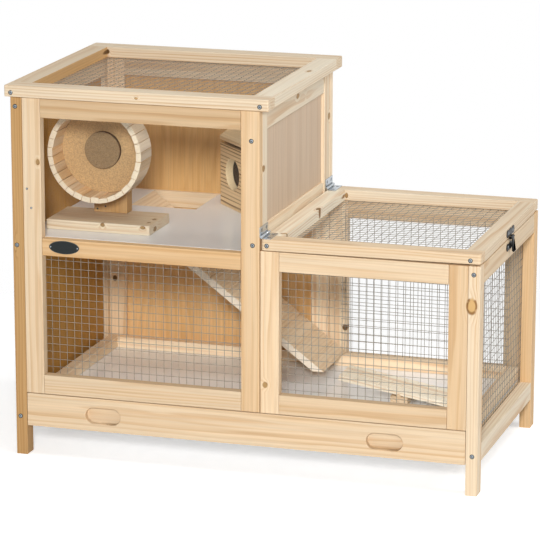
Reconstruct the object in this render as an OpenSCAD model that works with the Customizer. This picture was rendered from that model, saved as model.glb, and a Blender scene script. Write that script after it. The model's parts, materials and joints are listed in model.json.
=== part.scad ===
// Two-storey wooden hamster cage: a tall tower beside a low run, lifting lids, pull-out tray and toys.
// Millimetres, X to the right, Y from front to back, Z up, origin under the middle of the whole cage.

/* [Body] */
// Width over the legs
body_w = 800; // [770:1:860]
// Depth from the front face to the back face
body_d = 430; // [420:1:470]
// Height of the tower walls
tower_h = 615; // [600:1:680]
// Height of the run walls
run_h = 384; // [372:1:400]
// Width of the tower
tower_w = 431; // [422:1:446]
// Underside of the front panels above the ground
panel_z = 109.5; // [105:0.5:114]

/* [Timber] */
// Width of a leg along the front
leg_w = 20; // [18:1:22]
// Depth of a leg
leg_d = 28; // [24:1:32]
// Thickness of the frame boards
frame_t = 18; // [15:1:20]
// Width of the upright frame boards
stile_w = 32; // [28:1:36]
// Width of the level frame boards
rail_w = 33; // [28:1:36]
// Width of the narrow rails on the side walls
low_rail_w = 31; // [26:1:33]
// Visible height of the wall board above the run lid
sill_h = 16; // [8:1:24]
// Width of the board over the right panel
head_w = 38; // [30:1:44]
// Thickness of the plywood
ply_t = 4; // [3:0.5:6]
// Depth of the grooves that hold the plywood
groove = 5; // [3:1:7]
// Thickness of the clear front window
window_t = 2; // [2:0.5:3]

/* [Wire mesh] */
// Distance between wires
mesh_pitch = 13.2; // [12:0.1:26]
// Diameter of a wire
wire_d = 1.1; // [0.9:0.1:1.4]
// Overlap of the mesh behind the boards
mesh_lap = 10; // [6:1:12]

/* [Lids] */
// Thickness of both lids
lid_t = 20; // [18:1:24]
// Width of the tower lid boards
tower_lid_rail = 36; // [30:1:40]
// Width of the run lid boards
run_lid_rail = 30; // [28:1:40]
// Tower lid overhang on the left
over_left = 8; // [4:1:12]
// Tower lid overhang at the front
over_front = 7; // [4:1:12]
// Tower lid overhang on the right
over_right = 17; // [10:1:20]
// Corner radius of the run lid
lid_corner = 6; // [3:1:9]
// Play between the tower wall and the run lid
lid_gap = 2; // [1:0.5:3]

/* [Hinges] */
// Length of a hinge
hinge_len = 44; // [36:1:44]
// Width of a hinge leaf
leaf_w = 16; // [14:1:18]
// Thickness of a hinge leaf
leaf_t = 1.2; // [1:0.1:1.5]
// Radius of the knuckles
knuckle_r = 2.6; // [2.4:0.1:3]
// Radius of the hinge pins
pin_r = 1.2; // [1:0.1:1.4]

/* [Latch] */
// Distance of the latch from the front face
latch_y = 211; // [150:1:280]
// Length of the latch plates
latch_plate_w = 54; // [44:1:60]
// Height of the latch plates
latch_plate_h = 13; // [11:1:14]
// Width of the swinging strap
strap_w = 10; // [8:1:12]
// Outer radius of the curled strap end
curl_r = 4; // [3:0.5:5]

/* [Tray] */
// Underside of the drawer front above the ground
drawer_z = 51.5; // [46:0.5:54]
// Thickness of the drawer front
drawer_t = 18; // [16:1:20]
// Gap above and beside the drawer front
drawer_gap = 1; // [0.5:0.1:1]
// Underside of the tray floor above the ground
tray_z = 83; // [82:0.5:84]
// Thickness of the tray floor
tray_t = 5; // [4:0.5:6]
// Width of the strips round the tray
strip_w = 20; // [14:1:22]
// Play beside and behind the tray
tray_gap = 1.5; // [1:0.5:2.5]
// Length of a finger recess
finger_w = 62; // [50:1:80]
// Height of a finger recess
finger_h = 28; // [22:1:32]
// Depth of a finger recess
finger_deep = 11; // [8:1:12]
// Distance of the finger recesses from the ends of the body
finger_x = 156; // [120:1:200]

/* [Upper floor and ramp] */
// Thickness of the upper floor
floor_t = 8; // [6:1:10]
// Left edge of the ramp opening
hole_x = 106; // [96:1:112]
// Length of the ramp opening
hole_w = 121; // [100:1:126]
// Depth of the ramp opening from the back wall
hole_d = 127; // [110:1:130]
// Slope of the ramp in degrees
ramp_slope = 36.8; // [35:0.2:38.6]
// Thickness of the ramp
ramp_t = 13; // [10:1:15]
// Width of the ramp
ramp_w = 142; // [120:1:150]
// Distance between the ramp grooves
ramp_step = 38; // [28:1:48]

/* [Hut] */
// Width of the hut front
hut_w = 100; // [90:1:100]
// Depth of the hut
hut_d = 95; // [84:1:95]
// Height of the hut walls at the eaves
hut_h = 116; // [106:1:122]
// Height of the slot between the hut front and its roof
hut_slot = 6; // [3:1:9]
// Thickness of the hut boards
hut_t = 14; // [10:1:16]
// Thickness of the roof boards
roof_t = 6; // [5:0.5:10]
// Diameter of the round door
door_d = 53; // [44:1:58]
// Height of the door centre above the floor
door_z = 62; // [50:1:66]
// Pitch of the roof in degrees
roof_pitch = 32; // [24:1:38]
// Distance of the hut corner from the outside of the tower
hut_in = 177; // [174:1:180]
// Distance of the hut corner from the back frame
hut_off = 72.4; // [72:0.1:74]
// Turn of the hut in degrees
hut_turn = 47.5; // [45:0.5:50]

/* [Wheel] */
// Outer radius of the wheel
wheel_r = 83.5; // [74:0.5:84]
// Length of the staves
stave_l = 55; // [48:0.5:60]
// Number of staves
staves = 32; // [24:1:36]
// Thickness of the thinnest staves
stave_t = 7.6; // [6.6:0.1:9]
// Thickness of the wheel back
wheel_back_t = 6; // [5:0.5:9]
// Radius of the hub
hub_r = 31.5; // [24:0.5:36]
// Thickness of the hub
hub_t = 9; // [8:0.5:14]
// Radius of the axle
axle_r = 4; // [3:0.5:5]
// Depth of the axle in the post
axle_in = 19; // [12:1:22]
// Distance of the axle from the left legs
axle_off = 93; // [90:0.5:98]
// Height of the axle above the upper floor
axle_up = 128; // [120:1:134]
// Distance of the base plank from the front frame
base_off = 52; // [40:1:60]
// Distance of the wheel behind the front of the base plank
wheel_in = 18.5; // [10:0.5:24]
// Thickness of the base plank
base_t = 17; // [14:1:20]
// Length of the base plank left of the axle
base_left = 80; // [72:0.5:82]
// Length of the base plank right of the axle
base_right = 104; // [94:0.5:108]
// Width of the post
post_w = 60; // [40:1:70]
// Distance of the middle of the post right of the axle
post_shift = 7.5; // [0:0.5:12]
// Thickness of the post
post_t = 26; // [23:1:30]
// Height of the post above the axle
post_up = 37; // [20:1:45]

/* [Seesaw] */
// Length of the seesaw board
seesaw_l = 215; // [190:1:215]
// Width of the seesaw board
seesaw_w = 71; // [60:1:76]
// Thickness of the seesaw board
seesaw_t = 9; // [8:1:11]
// Height of the pivot block
block_h = 15; // [13:1:18]
// Width of the pivot block
block_w = 30; // [24:1:30]
// Radius of the pivot dowel
dowel_r = 4; // [3.5:0.5:5]
// Distance between the seesaw grooves
seesaw_step = 19; // [15:1:24]
// Distance of the pivot from the right end of the body
pivot_off = 180; // [170:1:190]
// Distance of the seesaw from the front frame
seesaw_off = 162; // [158:1:170]

/* [Hidden] */
$fn = 48;
play = 0.05;
near = 0.3;
in_x1 = body_w - leg_w;
back_y = body_d - frame_t;
low_z = 52;
low_top = low_z + low_rail_w;
tower_in = leg_w + stile_w;
tower_out = tower_w - stile_w;
run_x0 = tower_w + 1;
run_in = run_x0 + stile_w;
run_out = in_x1 - stile_w;
floor_top = run_h - 6;
floor_z = floor_top - floor_t;
bearer_h = 18;
bearer_out = 8;
bearer_w = 12;
bearer_gap = 3;
runner_w = 18;
runner_h = 20;
mid_w = rail_w - 4;
mid_low = floor_top - mid_w;
back_low = 72;
wall_t = 20;
wall_x = tower_w - wall_t;
post_front = 44;
post_back = body_d - 50;
right_low = run_h + lid_t + sill_h;
right_top = tower_h - head_w;
left_ply_x = (leg_w - ply_t) / 2;
right_ply_x = tower_w - 6 - ply_t;
back_ply_y = body_d - (frame_t + ply_t) / 2;
weld = 0.02;
mesh_t = 2 * wire_d + weld;
seat = 0.05;
lid_top = run_h + lid_t;
lid_x0 = tower_w + lid_gap;
pin_off = knuckle_r + near;
tower_pin_y = body_d + pin_off;
strap_x = 4.4;
latch_reach = strap_x + 2 * curl_r;
mid_x = (body_w + latch_reach - over_left) / 2;
mid_y = (tower_pin_y + knuckle_r - over_front) / 2;
tray_x0 = leg_w + tray_gap;
tray_x1 = in_x1 - mesh_t - tray_gap;
tray_y1 = back_y - mesh_t - tray_gap;
tray_top = tray_z + tray_t;
drawer_top = panel_z - drawer_gap;
strip_top = panel_z - 1.5;
ramp_y1 = back_y - mesh_t - 2 * near;
ramp_rise = floor_top - panel_z;
ramp_y0 = ramp_y1 - ramp_w;
hole_y = back_y - hole_d;
wheel_x = leg_w + axle_off;
base_y = frame_t + base_off;
wheel_y = base_y + wheel_in;
wheel_z = floor_top + axle_up;
base_top = floor_top + base_t;
wheel_back_y = wheel_y + stave_l;
post_y = wheel_back_y + 3;
stand_back = post_y + post_t;
hut_x = tower_w - hut_in;
hut_y = back_y - hut_off;
seesaw_x = body_w - pivot_off;
seesaw_y = frame_t + seesaw_off;
pivot_z = tray_top + block_h + 1.4;
board_up = 1.5;
half_l = seesaw_l / 2;
seesaw_tilt = asin((pivot_z - tray_top - near) / norm([half_l, board_up])) + atan(board_up / half_l);

// A plain board between two corners
module board(lo, hi) {
    translate(lo) cube(hi - lo);
}

// Moves the cage so that the origin is under its middle
module place() {
    translate([-mid_x, -mid_y, 0]) children();
}

// Wires that fit into a span, and the place of the first one
function wires(span) = floor((span - 2 * wire_d) / mesh_pitch);
function first_wire(span) = (span - wires(span) * mesh_pitch) / 2;

// Flat welded mesh: one layer of wires each way, one lying on the other
module wire_mesh(w, h) {
    for (i = [0 : wires(w)])
        translate([first_wire(w) + i * mesh_pitch, 0, wire_d / 2])
            rotate([-90, 0, 0]) cylinder(h = h, d = wire_d, $fn = 16);
    for (j = [0 : wires(h)])
        translate([0, first_wire(h) + j * mesh_pitch, 1.5 * wire_d + weld])
            rotate([0, 90, 0]) cylinder(h = w, d = wire_d, $fn = 16);
}

// Mesh standing along X, spread over an opening and its laps, its front at y
module mesh_along_x(x0, x1, z0, z1, y) {
    color("silver") translate([x0 - mesh_lap, y + mesh_t, z0 - mesh_lap]) rotate([90, 0, 0])
        wire_mesh(x1 - x0 + 2 * mesh_lap, z1 - z0 + 2 * mesh_lap);
}

// Legs
module leg(x, y, h) {
    color("burlywood") board([x, y, 0], [x + leg_w, y + leg_d, h]);
}

module leg_front_left() {
    difference() {
        leg(0, 0, tower_h);
        left_panel();
    }
}

module leg_back_left() {
    difference() {
        leg(0, body_d - leg_d, tower_h);
        left_panel();
    }
}

module leg_front_right() {
    leg(in_x1, 0, run_h);
}

module leg_back_right() {
    leg(in_x1, body_d - leg_d, run_h);
}

// Tower front
module tower_stiles() {
    color("wheat") {
        board([leg_w, 0, panel_z], [tower_in, frame_t, tower_h]);
        board([tower_out, 0, panel_z], [tower_w, frame_t, tower_h]);
    }
}

module tower_rail(z0) {
    color("wheat") board([tower_in, 0, z0], [tower_out, frame_t, z0 + rail_w]);
}

module tower_rail_top() {
    tower_rail(tower_h - rail_w);
}

module tower_rail_mid() {
    color("wheat") board([tower_in, 0, mid_low], [tower_out, frame_t, floor_top]);
}

module tower_rail_bottom() {
    tower_rail(panel_z);
}

module tower_window() {
    color([0.85, 0.95, 1, 0.3])
        board([tower_in - mesh_lap, frame_t, floor_top],
            [tower_out + mesh_lap, frame_t + window_t, tower_h - rail_w + mesh_lap]);
}

module tower_mesh() {
    mesh_along_x(tower_in, tower_out, panel_z + rail_w, mid_low, frame_t + seat);
}

// Left wall
module left_rails() {
    difference() {
        color("wheat") {
            board([0, leg_d, low_z], [leg_w, body_d - leg_d, low_top]);
            board([0, leg_d, tower_h - rail_w], [leg_w, body_d - leg_d, tower_h]);
        }
        left_panel();
    }
}

module left_panel() {
    color("tan")
        board([left_ply_x, leg_d - groove, low_top - groove],
            [left_ply_x + ply_t, body_d - leg_d + groove, tower_h - rail_w + groove]);
}

// Back wall
module back_stiles() {
    difference() {
        color("wheat") {
            board([leg_w, back_y, back_low], [tower_in, body_d, tower_h]);
            board([tower_out, back_y, back_low], [tower_w, body_d, tower_h]);
            board([run_x0, back_y, back_low], [run_in, body_d, run_h]);
            board([run_out, back_y, back_low], [in_x1, body_d, run_h]);
        }
        back_panels();
    }
}

module back_rails() {
    difference() {
        color("wheat") {
            for (z0 = [back_low, tower_h - rail_w])
                board([tower_in, back_y, z0], [tower_out, body_d, z0 + rail_w]);
            board([tower_in, back_y, mid_low], [tower_out, body_d, floor_top]);
            for (z0 = [back_low, run_h - rail_w])
                board([run_in, back_y, z0], [run_out, body_d, z0 + rail_w]);
        }
        back_panels();
    }
}

module back_panel(z0, z1) {
    board([tower_in - groove, back_ply_y, z0 - groove],
        [tower_out + groove, back_ply_y + ply_t, z1 + groove]);
}

module back_panels() {
    color("tan") {
        back_panel(back_low + rail_w, mid_low);
        back_panel(floor_top, tower_h - rail_w);
    }
}

// Wall between the upper storey and the run lid
module right_posts() {
    difference() {
        color("wheat") {
            board([wall_x, frame_t, run_h], [tower_w, post_front, tower_h]);
            board([wall_x, post_back, run_h], [tower_w, back_y, tower_h]);
        }
        right_panel();
    }
}

module right_rail(z0, z1) {
    difference() {
        color("wheat") board([wall_x, post_front, z0], [tower_w - 1.5, post_back, z1]);
        right_panel();
    }
}

module right_rail_top() {
    right_rail(right_top, tower_h);
}

module right_rail_bottom() {
    right_rail(run_h, right_low);
}

module right_panel() {
    color("tan")
        board([right_ply_x, post_front - groove, right_low - groove],
            [right_ply_x + ply_t, post_back + groove, right_top + groove]);
}

// Beam that carries this wall over the open way from the tower to the run
module storey_beam() {
    color("wheat") board([wall_x, frame_t, run_h - rail_w], [tower_w, back_y, run_h]);
}

// Run front
module run_stiles() {
    color("wheat") {
        board([run_x0, 0, panel_z], [run_in, frame_t, run_h]);
        board([run_out, 0, panel_z], [in_x1, frame_t, run_h]);
    }
}

module run_rail(z0) {
    color("wheat") board([run_in, 0, z0], [run_out, frame_t, z0 + rail_w]);
}

module run_rail_top() {
    run_rail(run_h - rail_w);
}

module run_rail_bottom() {
    run_rail(panel_z);
}

module run_front_mesh() {
    mesh_along_x(run_in, run_out, panel_z + rail_w, run_h - rail_w, frame_t + seat);
}

module run_back_mesh() {
    mesh_along_x(run_in, run_out, back_low + rail_w, run_h - rail_w, back_y - seat - mesh_t);
}

// Right side of the run
module side_rails() {
    color("wheat") {
        board([in_x1, leg_d, low_z], [body_w, body_d - leg_d, low_top]);
        board([in_x1, leg_d, run_h - rail_w], [body_w, body_d - leg_d, run_h]);
    }
}

module run_side_mesh() {
    z0 = low_top - mesh_lap;
    y0 = leg_d - 6;
    color("silver") translate([in_x1 - seat - mesh_t, y0, z0]) rotate([90, 0, 90])
        wire_mesh(body_d - 2 * y0, run_h - rail_w + mesh_lap - z0);
}

// Upper floor on its two bearers
module floor_bearers() {
    color("wheat") {
        board([left_ply_x + ply_t, leg_d, floor_z - bearer_h], [leg_w + bearer_out, body_d - leg_d, floor_z]);
        board([wall_x - bearer_w, frame_t + bearer_gap, floor_z - bearer_h], [wall_x, back_y, floor_z]);
    }
}

module upper_floor() {
    color("white") difference() {
        board([left_ply_x + ply_t + near, frame_t, floor_z], [wall_x - near, back_y, floor_top]);
        board([0, 0, floor_z - 1], [leg_w + near, leg_d + near, floor_top + 1]);
        board([0, body_d - leg_d - near, floor_z - 1], [leg_w + near, body_d, floor_top + 1]);
        board([hole_x, hole_y, floor_z - 1], [hole_x + hole_w, body_d, floor_top + 1]);
    }
}

// Ramp from the edge of the opening to the tray: level cut at the foot, cross grooves for grip,
// and a notch where its front strip passes under the floor
module ramp() {
    run = ramp_rise / tan(ramp_slope);
    cut = ramp_t / sin(ramp_slope);
    slant = ramp_rise / sin(ramp_slope);
    color("wheat") difference() {
        translate([hole_x, ramp_y1, floor_top]) rotate([90, 0, 0]) linear_extrude(ramp_w)
            polygon([[0, 0], [run, -ramp_rise], [run - cut, -ramp_rise], [0, -ramp_t / cos(ramp_slope)]]);
        for (s = [ramp_step : ramp_step : slant - ramp_step / 2])
            translate([hole_x, ramp_y0 - 1, floor_top]) rotate([0, ramp_slope, 0])
                translate([s, 0, -1.5]) cube([2.2, ramp_w + 2, 3]);
        board([hole_x - 1, ramp_y0 - 1, floor_z], [hole_x + hole_w, hole_y + near, floor_top + 1]);
    }
}

// Hut set across the back right corner of the upper floor
module hut_place() {
    translate([hut_x, hut_y, floor_top]) rotate([0, 0, -hut_turn]) children();
}

// Outline in depth and height, stretched along the hut front
module hut_slab(u0, u1, outline) {
    translate([u0, 0, 0]) rotate([90, 0, 90]) linear_extrude(u1 - u0) polygon(outline);
}

function eave(v) = hut_h + v * tan(roof_pitch);

module hut_front() {
    color("sandybrown") hut_place() difference() {
        hut_slab(0, hut_w, [[0, 0], [hut_t, 0], [hut_t, hut_h - hut_slot], [0, hut_h - hut_slot]]);
        translate([hut_w / 2, -1, door_z]) rotate([-90, 0, 0]) cylinder(h = hut_t + 2, d = door_d);
    }
}

module hut_walls() {
    a = hut_t + play;
    b = hut_d - hut_t;
    top = eave(hut_d / 2);
    side = [[a, 0], [b - play, 0], [b - play, eave(a)], [hut_d / 2, top], [a, eave(a)]];
    color("sandybrown") hut_place() {
        hut_slab(0, hut_t, side);
        hut_slab(hut_w - hut_t, hut_w, side);
        hut_slab(0, hut_w, [[b, 0], [hut_d, 0], [hut_d, eave(0)], [b, eave(hut_t)]]);
    }
}

// One side of the roof, cut upright at the eave
module hut_roof_board() {
    v0 = -1.5;
    v1 = hut_d / 2 - play;
    up = roof_t / cos(roof_pitch);
    hut_slab(0, hut_w, [[v0, eave(v0)], [v1, eave(v1)], [v1, eave(v1) + up], [v0, eave(v0) + up]]);
}

module hut_roof() {
    color("sandybrown") hut_place() {
        hut_roof_board();
        translate([0, hut_d, 0]) mirror([0, 1, 0]) hut_roof_board();
    }
}

// Wheel stand
module wheel_base() {
    color("wheat")
        board([wheel_x - base_left, base_y, floor_top], [wheel_x + base_right, stand_back, base_top]);
}

module wheel_post() {
    x = wheel_x + post_shift;
    color("wheat") difference() {
        board([x - post_w / 2, post_y, base_top], [x + post_w / 2, stand_back, wheel_z + post_up]);
        along_axle(post_y - 1) cylinder(h = axle_in + 1 + near, r = axle_r + play);
    }
}

// Puts a turned piece on the axle line, starting at y
module along_axle(y) {
    translate([wheel_x, y, wheel_z]) rotate([-90, 0, 0]) children();
}

module wheel_axle() {
    front = wheel_back_y - wheel_back_t - hub_t + 5;
    color("silver") {
        along_axle(front) cylinder(h = post_y + axle_in - front, r = axle_r);
        along_axle(wheel_back_y + near) cylinder(h = post_y - wheel_back_y - near, r = axle_r + 4);
    }
}

// Wheel: staves round a back board, with a hub on its front
module wheel_drum() {
    step = 360 / staves;
    half = step / 2 - 0.06;
    color("tan") along_axle(wheel_y) linear_extrude(stave_l)
        for (i = [0 : staves - 1])
            rotate(i * step) stave_outline(half, wheel_r - stave_t - 0.4 * (i % 3));
}

module stave_outline(half, inner) {
    polygon([[wheel_r * cos(half), -wheel_r * sin(half)], [wheel_r * cos(half), wheel_r * sin(half)],
        [inner * cos(half), inner * sin(half)], [inner * cos(half), -inner * sin(half)]]);
}

module wheel_disc() {
    rim = (wheel_r - stave_t - 0.8) * cos(180 / staves) - 0.1;
    color("peru") difference() {
        along_axle(wheel_back_y - wheel_back_t) cylinder(h = wheel_back_t, r = rim, $fn = 96);
        along_axle(wheel_back_y - wheel_back_t - 1) cylinder(h = wheel_back_t + 2, r = axle_r + play);
    }
}

module wheel_hub() {
    hub_y = wheel_back_y - wheel_back_t - hub_t;
    color("peru") difference() {
        along_axle(hub_y) cylinder(h = hub_t, r = hub_r, $fn = 64);
        along_axle(hub_y + 4) cylinder(h = hub_t, r = axle_r + play);
    }
}

// Cleats that carry the tray
module tray_runners() {
    top = tray_z - near;
    x1 = in_x1 - mesh_t - 2 * seat;
    color("wheat") {
        board([leg_w, leg_d, top - runner_h], [leg_w + runner_w, body_d - leg_d, top]);
        board([x1 - runner_w, leg_d, top - runner_h], [x1, body_d - leg_d, top]);
    }
}

// One hinge leaf: pin along X, plate towards +Y, its mounting face below, knuckles where listed
module hinge_leaf(knuckles) {
    seg = hinge_len / 3;
    translate([0, pin_off, -pin_off]) cube([hinge_len, leaf_w - pin_off, leaf_t]);
    for (k = knuckles) {
        translate([k * seg + near / 2, 0, -pin_off]) cube([seg - near, pin_off + 1, leaf_t]);
        translate([k * seg + near / 2, 0, 0]) rotate([0, 90, 0]) difference() {
            cylinder(h = seg - near, r = knuckle_r);
            translate([0, 0, -1]) cylinder(h = seg + 2, r = pin_r + play);
        }
    }
}

function run_hinge_y() = [0, body_d - hinge_len - 2];
function tower_hinge_x() = [70, tower_w - 50 - hinge_len];

module run_hinge(y) {
    translate([tower_w + pin_off, y, lid_top + pin_off]) children();
}

module tower_hinge(x) {
    translate([x, tower_pin_y, tower_h]) children();
}

module hinge_wall_leaves() {
    color("silver") {
        for (y = run_hinge_y()) run_hinge(y) rotate([90, 0, 90]) hinge_leaf([0, 2]);
        for (x = tower_hinge_x()) tower_hinge(x) rotate([-90, 0, 0]) hinge_leaf([0, 2]);
    }
}

module hinge_pins() {
    color("gray") {
        for (y = run_hinge_y()) run_hinge(y) rotate([-90, 0, 0]) cylinder(h = hinge_len, r = pin_r);
        for (x = tower_hinge_x()) tower_hinge(x) rotate([0, 90, 0]) cylinder(h = hinge_len, r = pin_r);
    }
}

module run_lid_leaves() {
    color("silver") for (y = run_hinge_y()) run_hinge(y + hinge_len) rotate([0, 0, -90]) hinge_leaf([1]);
}

module tower_lid_leaves() {
    color("silver") for (x = tower_hinge_x()) tower_hinge(x + hinge_len) rotate([90, 0, 180]) hinge_leaf([1]);
}

// Latch: a strap hinged on the lid hangs over a keeper on the side rail
module latch_base(z) {
    flat = latch_plate_w - latch_plate_h;
    translate([body_w, latch_y, z]) rotate([90, 0, 90]) linear_extrude(leaf_t) {
        square([flat, latch_plate_h], center = true);
        for (s = [-1, 1]) translate([s * flat / 2, 0]) circle(d = latch_plate_h);
    }
}

module latch_pin_line(y) {
    translate([body_w + 3.6, y, run_h + 2.5]) rotate([-90, 0, 0]) children();
}

module latch_plate() {
    color("dimgray") {
        latch_base(run_h + 10);
        for (s = [-1, 1]) {
            latch_pin_line(latch_y + s * 8 - 2) cylinder(h = 4, r = 2.2);
            board([body_w, latch_y + s * 8 - 2, run_h + 0.6],
                [body_w + 3.6, latch_y + s * 8 + 2, run_h + 4.4]);
        }
        latch_pin_line(latch_y - 8) cylinder(h = 16, r = 1.1);
    }
}

module latch_keeper() {
    color("dimgray") {
        latch_base(run_h - 14);
        board([body_w, latch_y - 5, run_h - 18], [body_w + 3.6, latch_y + 5, run_h - 10]);
    }
}

module latch_hasp() {
    foot = run_h - 22;
    color("dimgray") {
        difference() {
            latch_pin_line(latch_y - 6 + near) cylinder(h = 12 - 2 * near, r = 2.2);
            latch_pin_line(latch_y - 7) cylinder(h = 14, r = 1.1 + play);
        }
        board([body_w + strap_x + 0.6, latch_y - 6 + near, run_h - 3],
            [body_w + strap_x + 1.4, latch_y + 6 - near, run_h + 2.5]);
        board([body_w + strap_x, latch_y - strap_w / 2, foot],
            [body_w + strap_x + 1.6, latch_y + strap_w / 2, run_h - 2]);
        translate([body_w + strap_x + curl_r, latch_y + strap_w / 2, foot]) rotate([90, 0, 0])
            linear_extrude(strap_w) difference() {
                circle(r = curl_r);
                circle(r = curl_r - 1.6);
                translate([-curl_r - 1, 0]) square([2 * curl_r + 2, curl_r + 1]);
            }
    }
}

// Lid frames: long boards along X with rounded corners, short boards between them, mesh in a rebate
module lid_long(lo, hi, rail, r) {
    size = hi - lo;
    difference() {
        translate(lo) linear_extrude(lid_t) intersection() {
            union() {
                translate([r, 0]) square([size.x - 2 * r, size.y]);
                translate([0, r]) square([size.x, size.y - 2 * r]);
                for (x = [r, size.x - r], y = [r, size.y - r]) translate([x, y]) circle(r = r);
            }
            union() {
                square([size.x, rail]);
                translate([0, size.y - rail]) square([size.x, rail]);
            }
        }
        lid_rebate(lo, hi, rail);
    }
}

module lid_short(lo, hi, rail) {
    difference() {
        for (x = [lo.x, hi.x - rail])
            board([x, lo.y + rail, lo.z], [x + rail, hi.y - rail, lo.z + lid_t]);
        lid_rebate(lo, hi, rail);
    }
}

module lid_rebate(lo, hi, rail) {
    in = rail - mesh_lap + 2;
    board([lo.x + in, lo.y + in, lo.z - 1], [hi.x - in, hi.y - in, lo.z + mesh_t + 0.2]);
}

module lid_mesh(lo, hi, rail) {
    in = rail - mesh_lap + 2 + near;
    translate([lo.x + in, lo.y + in, lo.z + 0.1]) wire_mesh(hi.x - lo.x - 2 * in, hi.y - lo.y - 2 * in);
}

run_lid_lo = [lid_x0, 0, run_h];
run_lid_hi = [body_w, body_d, lid_top];
tower_lid_lo = [-over_left, -over_front, tower_h];
tower_lid_hi = [tower_w + over_right, body_d, tower_h + lid_t];

module run_lid_long() {
    color("wheat") lid_long(run_lid_lo, run_lid_hi, run_lid_rail, lid_corner);
}

module run_lid_short() {
    color("wheat") lid_short(run_lid_lo, run_lid_hi, run_lid_rail);
}

module run_lid_mesh() {
    color("silver") lid_mesh(run_lid_lo, run_lid_hi, run_lid_rail);
}

module tower_lid_long() {
    color("wheat") lid_long(tower_lid_lo, tower_lid_hi, tower_lid_rail, 2);
}

module tower_lid_short() {
    color("wheat") lid_short(tower_lid_lo, tower_lid_hi, tower_lid_rail);
}

module tower_lid_mesh() {
    color("silver") lid_mesh(tower_lid_lo, tower_lid_hi, tower_lid_rail);
}

// Pull-out tray
module drawer_front() {
    mid_z = (drawer_z + drawer_top) / 2 - 1.5;
    flat = finger_w - finger_h;
    color("wheat") difference() {
        board([leg_w + drawer_gap / 2, 0, drawer_z], [in_x1 - drawer_gap / 2, drawer_t, drawer_top]);
        for (x = [finger_x, body_w - finger_x])
            translate([x, finger_deep, mid_z]) rotate([90, 0, 0]) linear_extrude(finger_deep + 1) {
                square([flat, finger_h], center = true);
                for (s = [-1, 1]) translate([s * flat / 2, 0]) circle(d = finger_h);
            }
    }
}

module drawer_floor() {
    color("white") board([tray_x0, drawer_t, tray_z], [tray_x1, tray_y1, tray_top]);
}

module drawer_sides() {
    color("wheat") {
        board([tray_x0, drawer_t, tray_top], [tray_x0 + strip_w, tray_y1, strip_top]);
        board([tray_x1 - strip_w, drawer_t, tray_top], [tray_x1, tray_y1, strip_top]);
    }
}

module drawer_back() {
    color("wheat")
        board([tray_x0 + strip_w, tray_y1 - strip_w, tray_top], [tray_x1 - strip_w, tray_y1, strip_top]);
}

// Seesaw: a board rocks on a dowel that lies in the top of a block
module pivot_rod(r, inset) {
    translate([seesaw_x, seesaw_y + inset, pivot_z]) rotate([-90, 0, 0])
        cylinder(h = seesaw_w - 2 * inset, r = r);
}

module seesaw_block() {
    color("wheat") difference() {
        board([seesaw_x - block_w / 2, seesaw_y + 3, tray_top],
            [seesaw_x + block_w / 2, seesaw_y + seesaw_w - 3, tray_top + block_h]);
        pivot_rod(dowel_r + play, 0);
    }
}

module seesaw_dowel() {
    color("burlywood") pivot_rod(dowel_r, 3);
}

module seesaw_board() {
    color("wheat") difference() {
        translate([seesaw_x, seesaw_y, pivot_z]) rotate([0, seesaw_tilt, 0]) difference() {
            translate([-half_l, 0, board_up]) cube([seesaw_l, seesaw_w, seesaw_t]);
            for (s = [-half_l + seesaw_step / 2 : seesaw_step : half_l - seesaw_step / 3])
                translate([s, -1, board_up + seesaw_t - 1.2]) cube([2, seesaw_w + 2, 3]);
        }
        pivot_rod(dowel_r + 2 * play, -1);
    }
}

place() leg_front_left();
place() leg_front_right();
place() leg_back_left();
place() leg_back_right();
place() tower_stiles();
place() tower_rail_top();
place() tower_rail_mid();
place() tower_rail_bottom();
place() tower_window();
place() tower_mesh();
place() left_rails();
place() left_panel();
place() back_stiles();
place() back_rails();
place() back_panels();
place() right_posts();
place() right_rail_top();
place() right_rail_bottom();
place() right_panel();
place() storey_beam();
place() run_stiles();
place() run_rail_top();
place() run_rail_bottom();
place() run_front_mesh();
place() run_back_mesh();
place() run_side_mesh();
place() side_rails();
place() floor_bearers();
place() upper_floor();
place() ramp();
place() hut_front();
place() hut_walls();
place() hut_roof();
place() wheel_base();
place() wheel_post();
place() wheel_axle();
place() wheel_drum();
place() wheel_disc();
place() wheel_hub();
place() tray_runners();
place() hinge_wall_leaves();
place() hinge_pins();
place() latch_keeper();
place() latch_plate();
place() latch_hasp();
place() run_lid_long();
place() run_lid_short();
place() run_lid_mesh();
place() run_lid_leaves();
place() tower_lid_long();
place() tower_lid_short();
place() tower_lid_mesh();
place() tower_lid_leaves();
place() drawer_front();
place() drawer_floor();
place() drawer_sides();
place() drawer_back();
place() seesaw_block();
place() seesaw_dowel();
place() seesaw_board();
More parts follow.
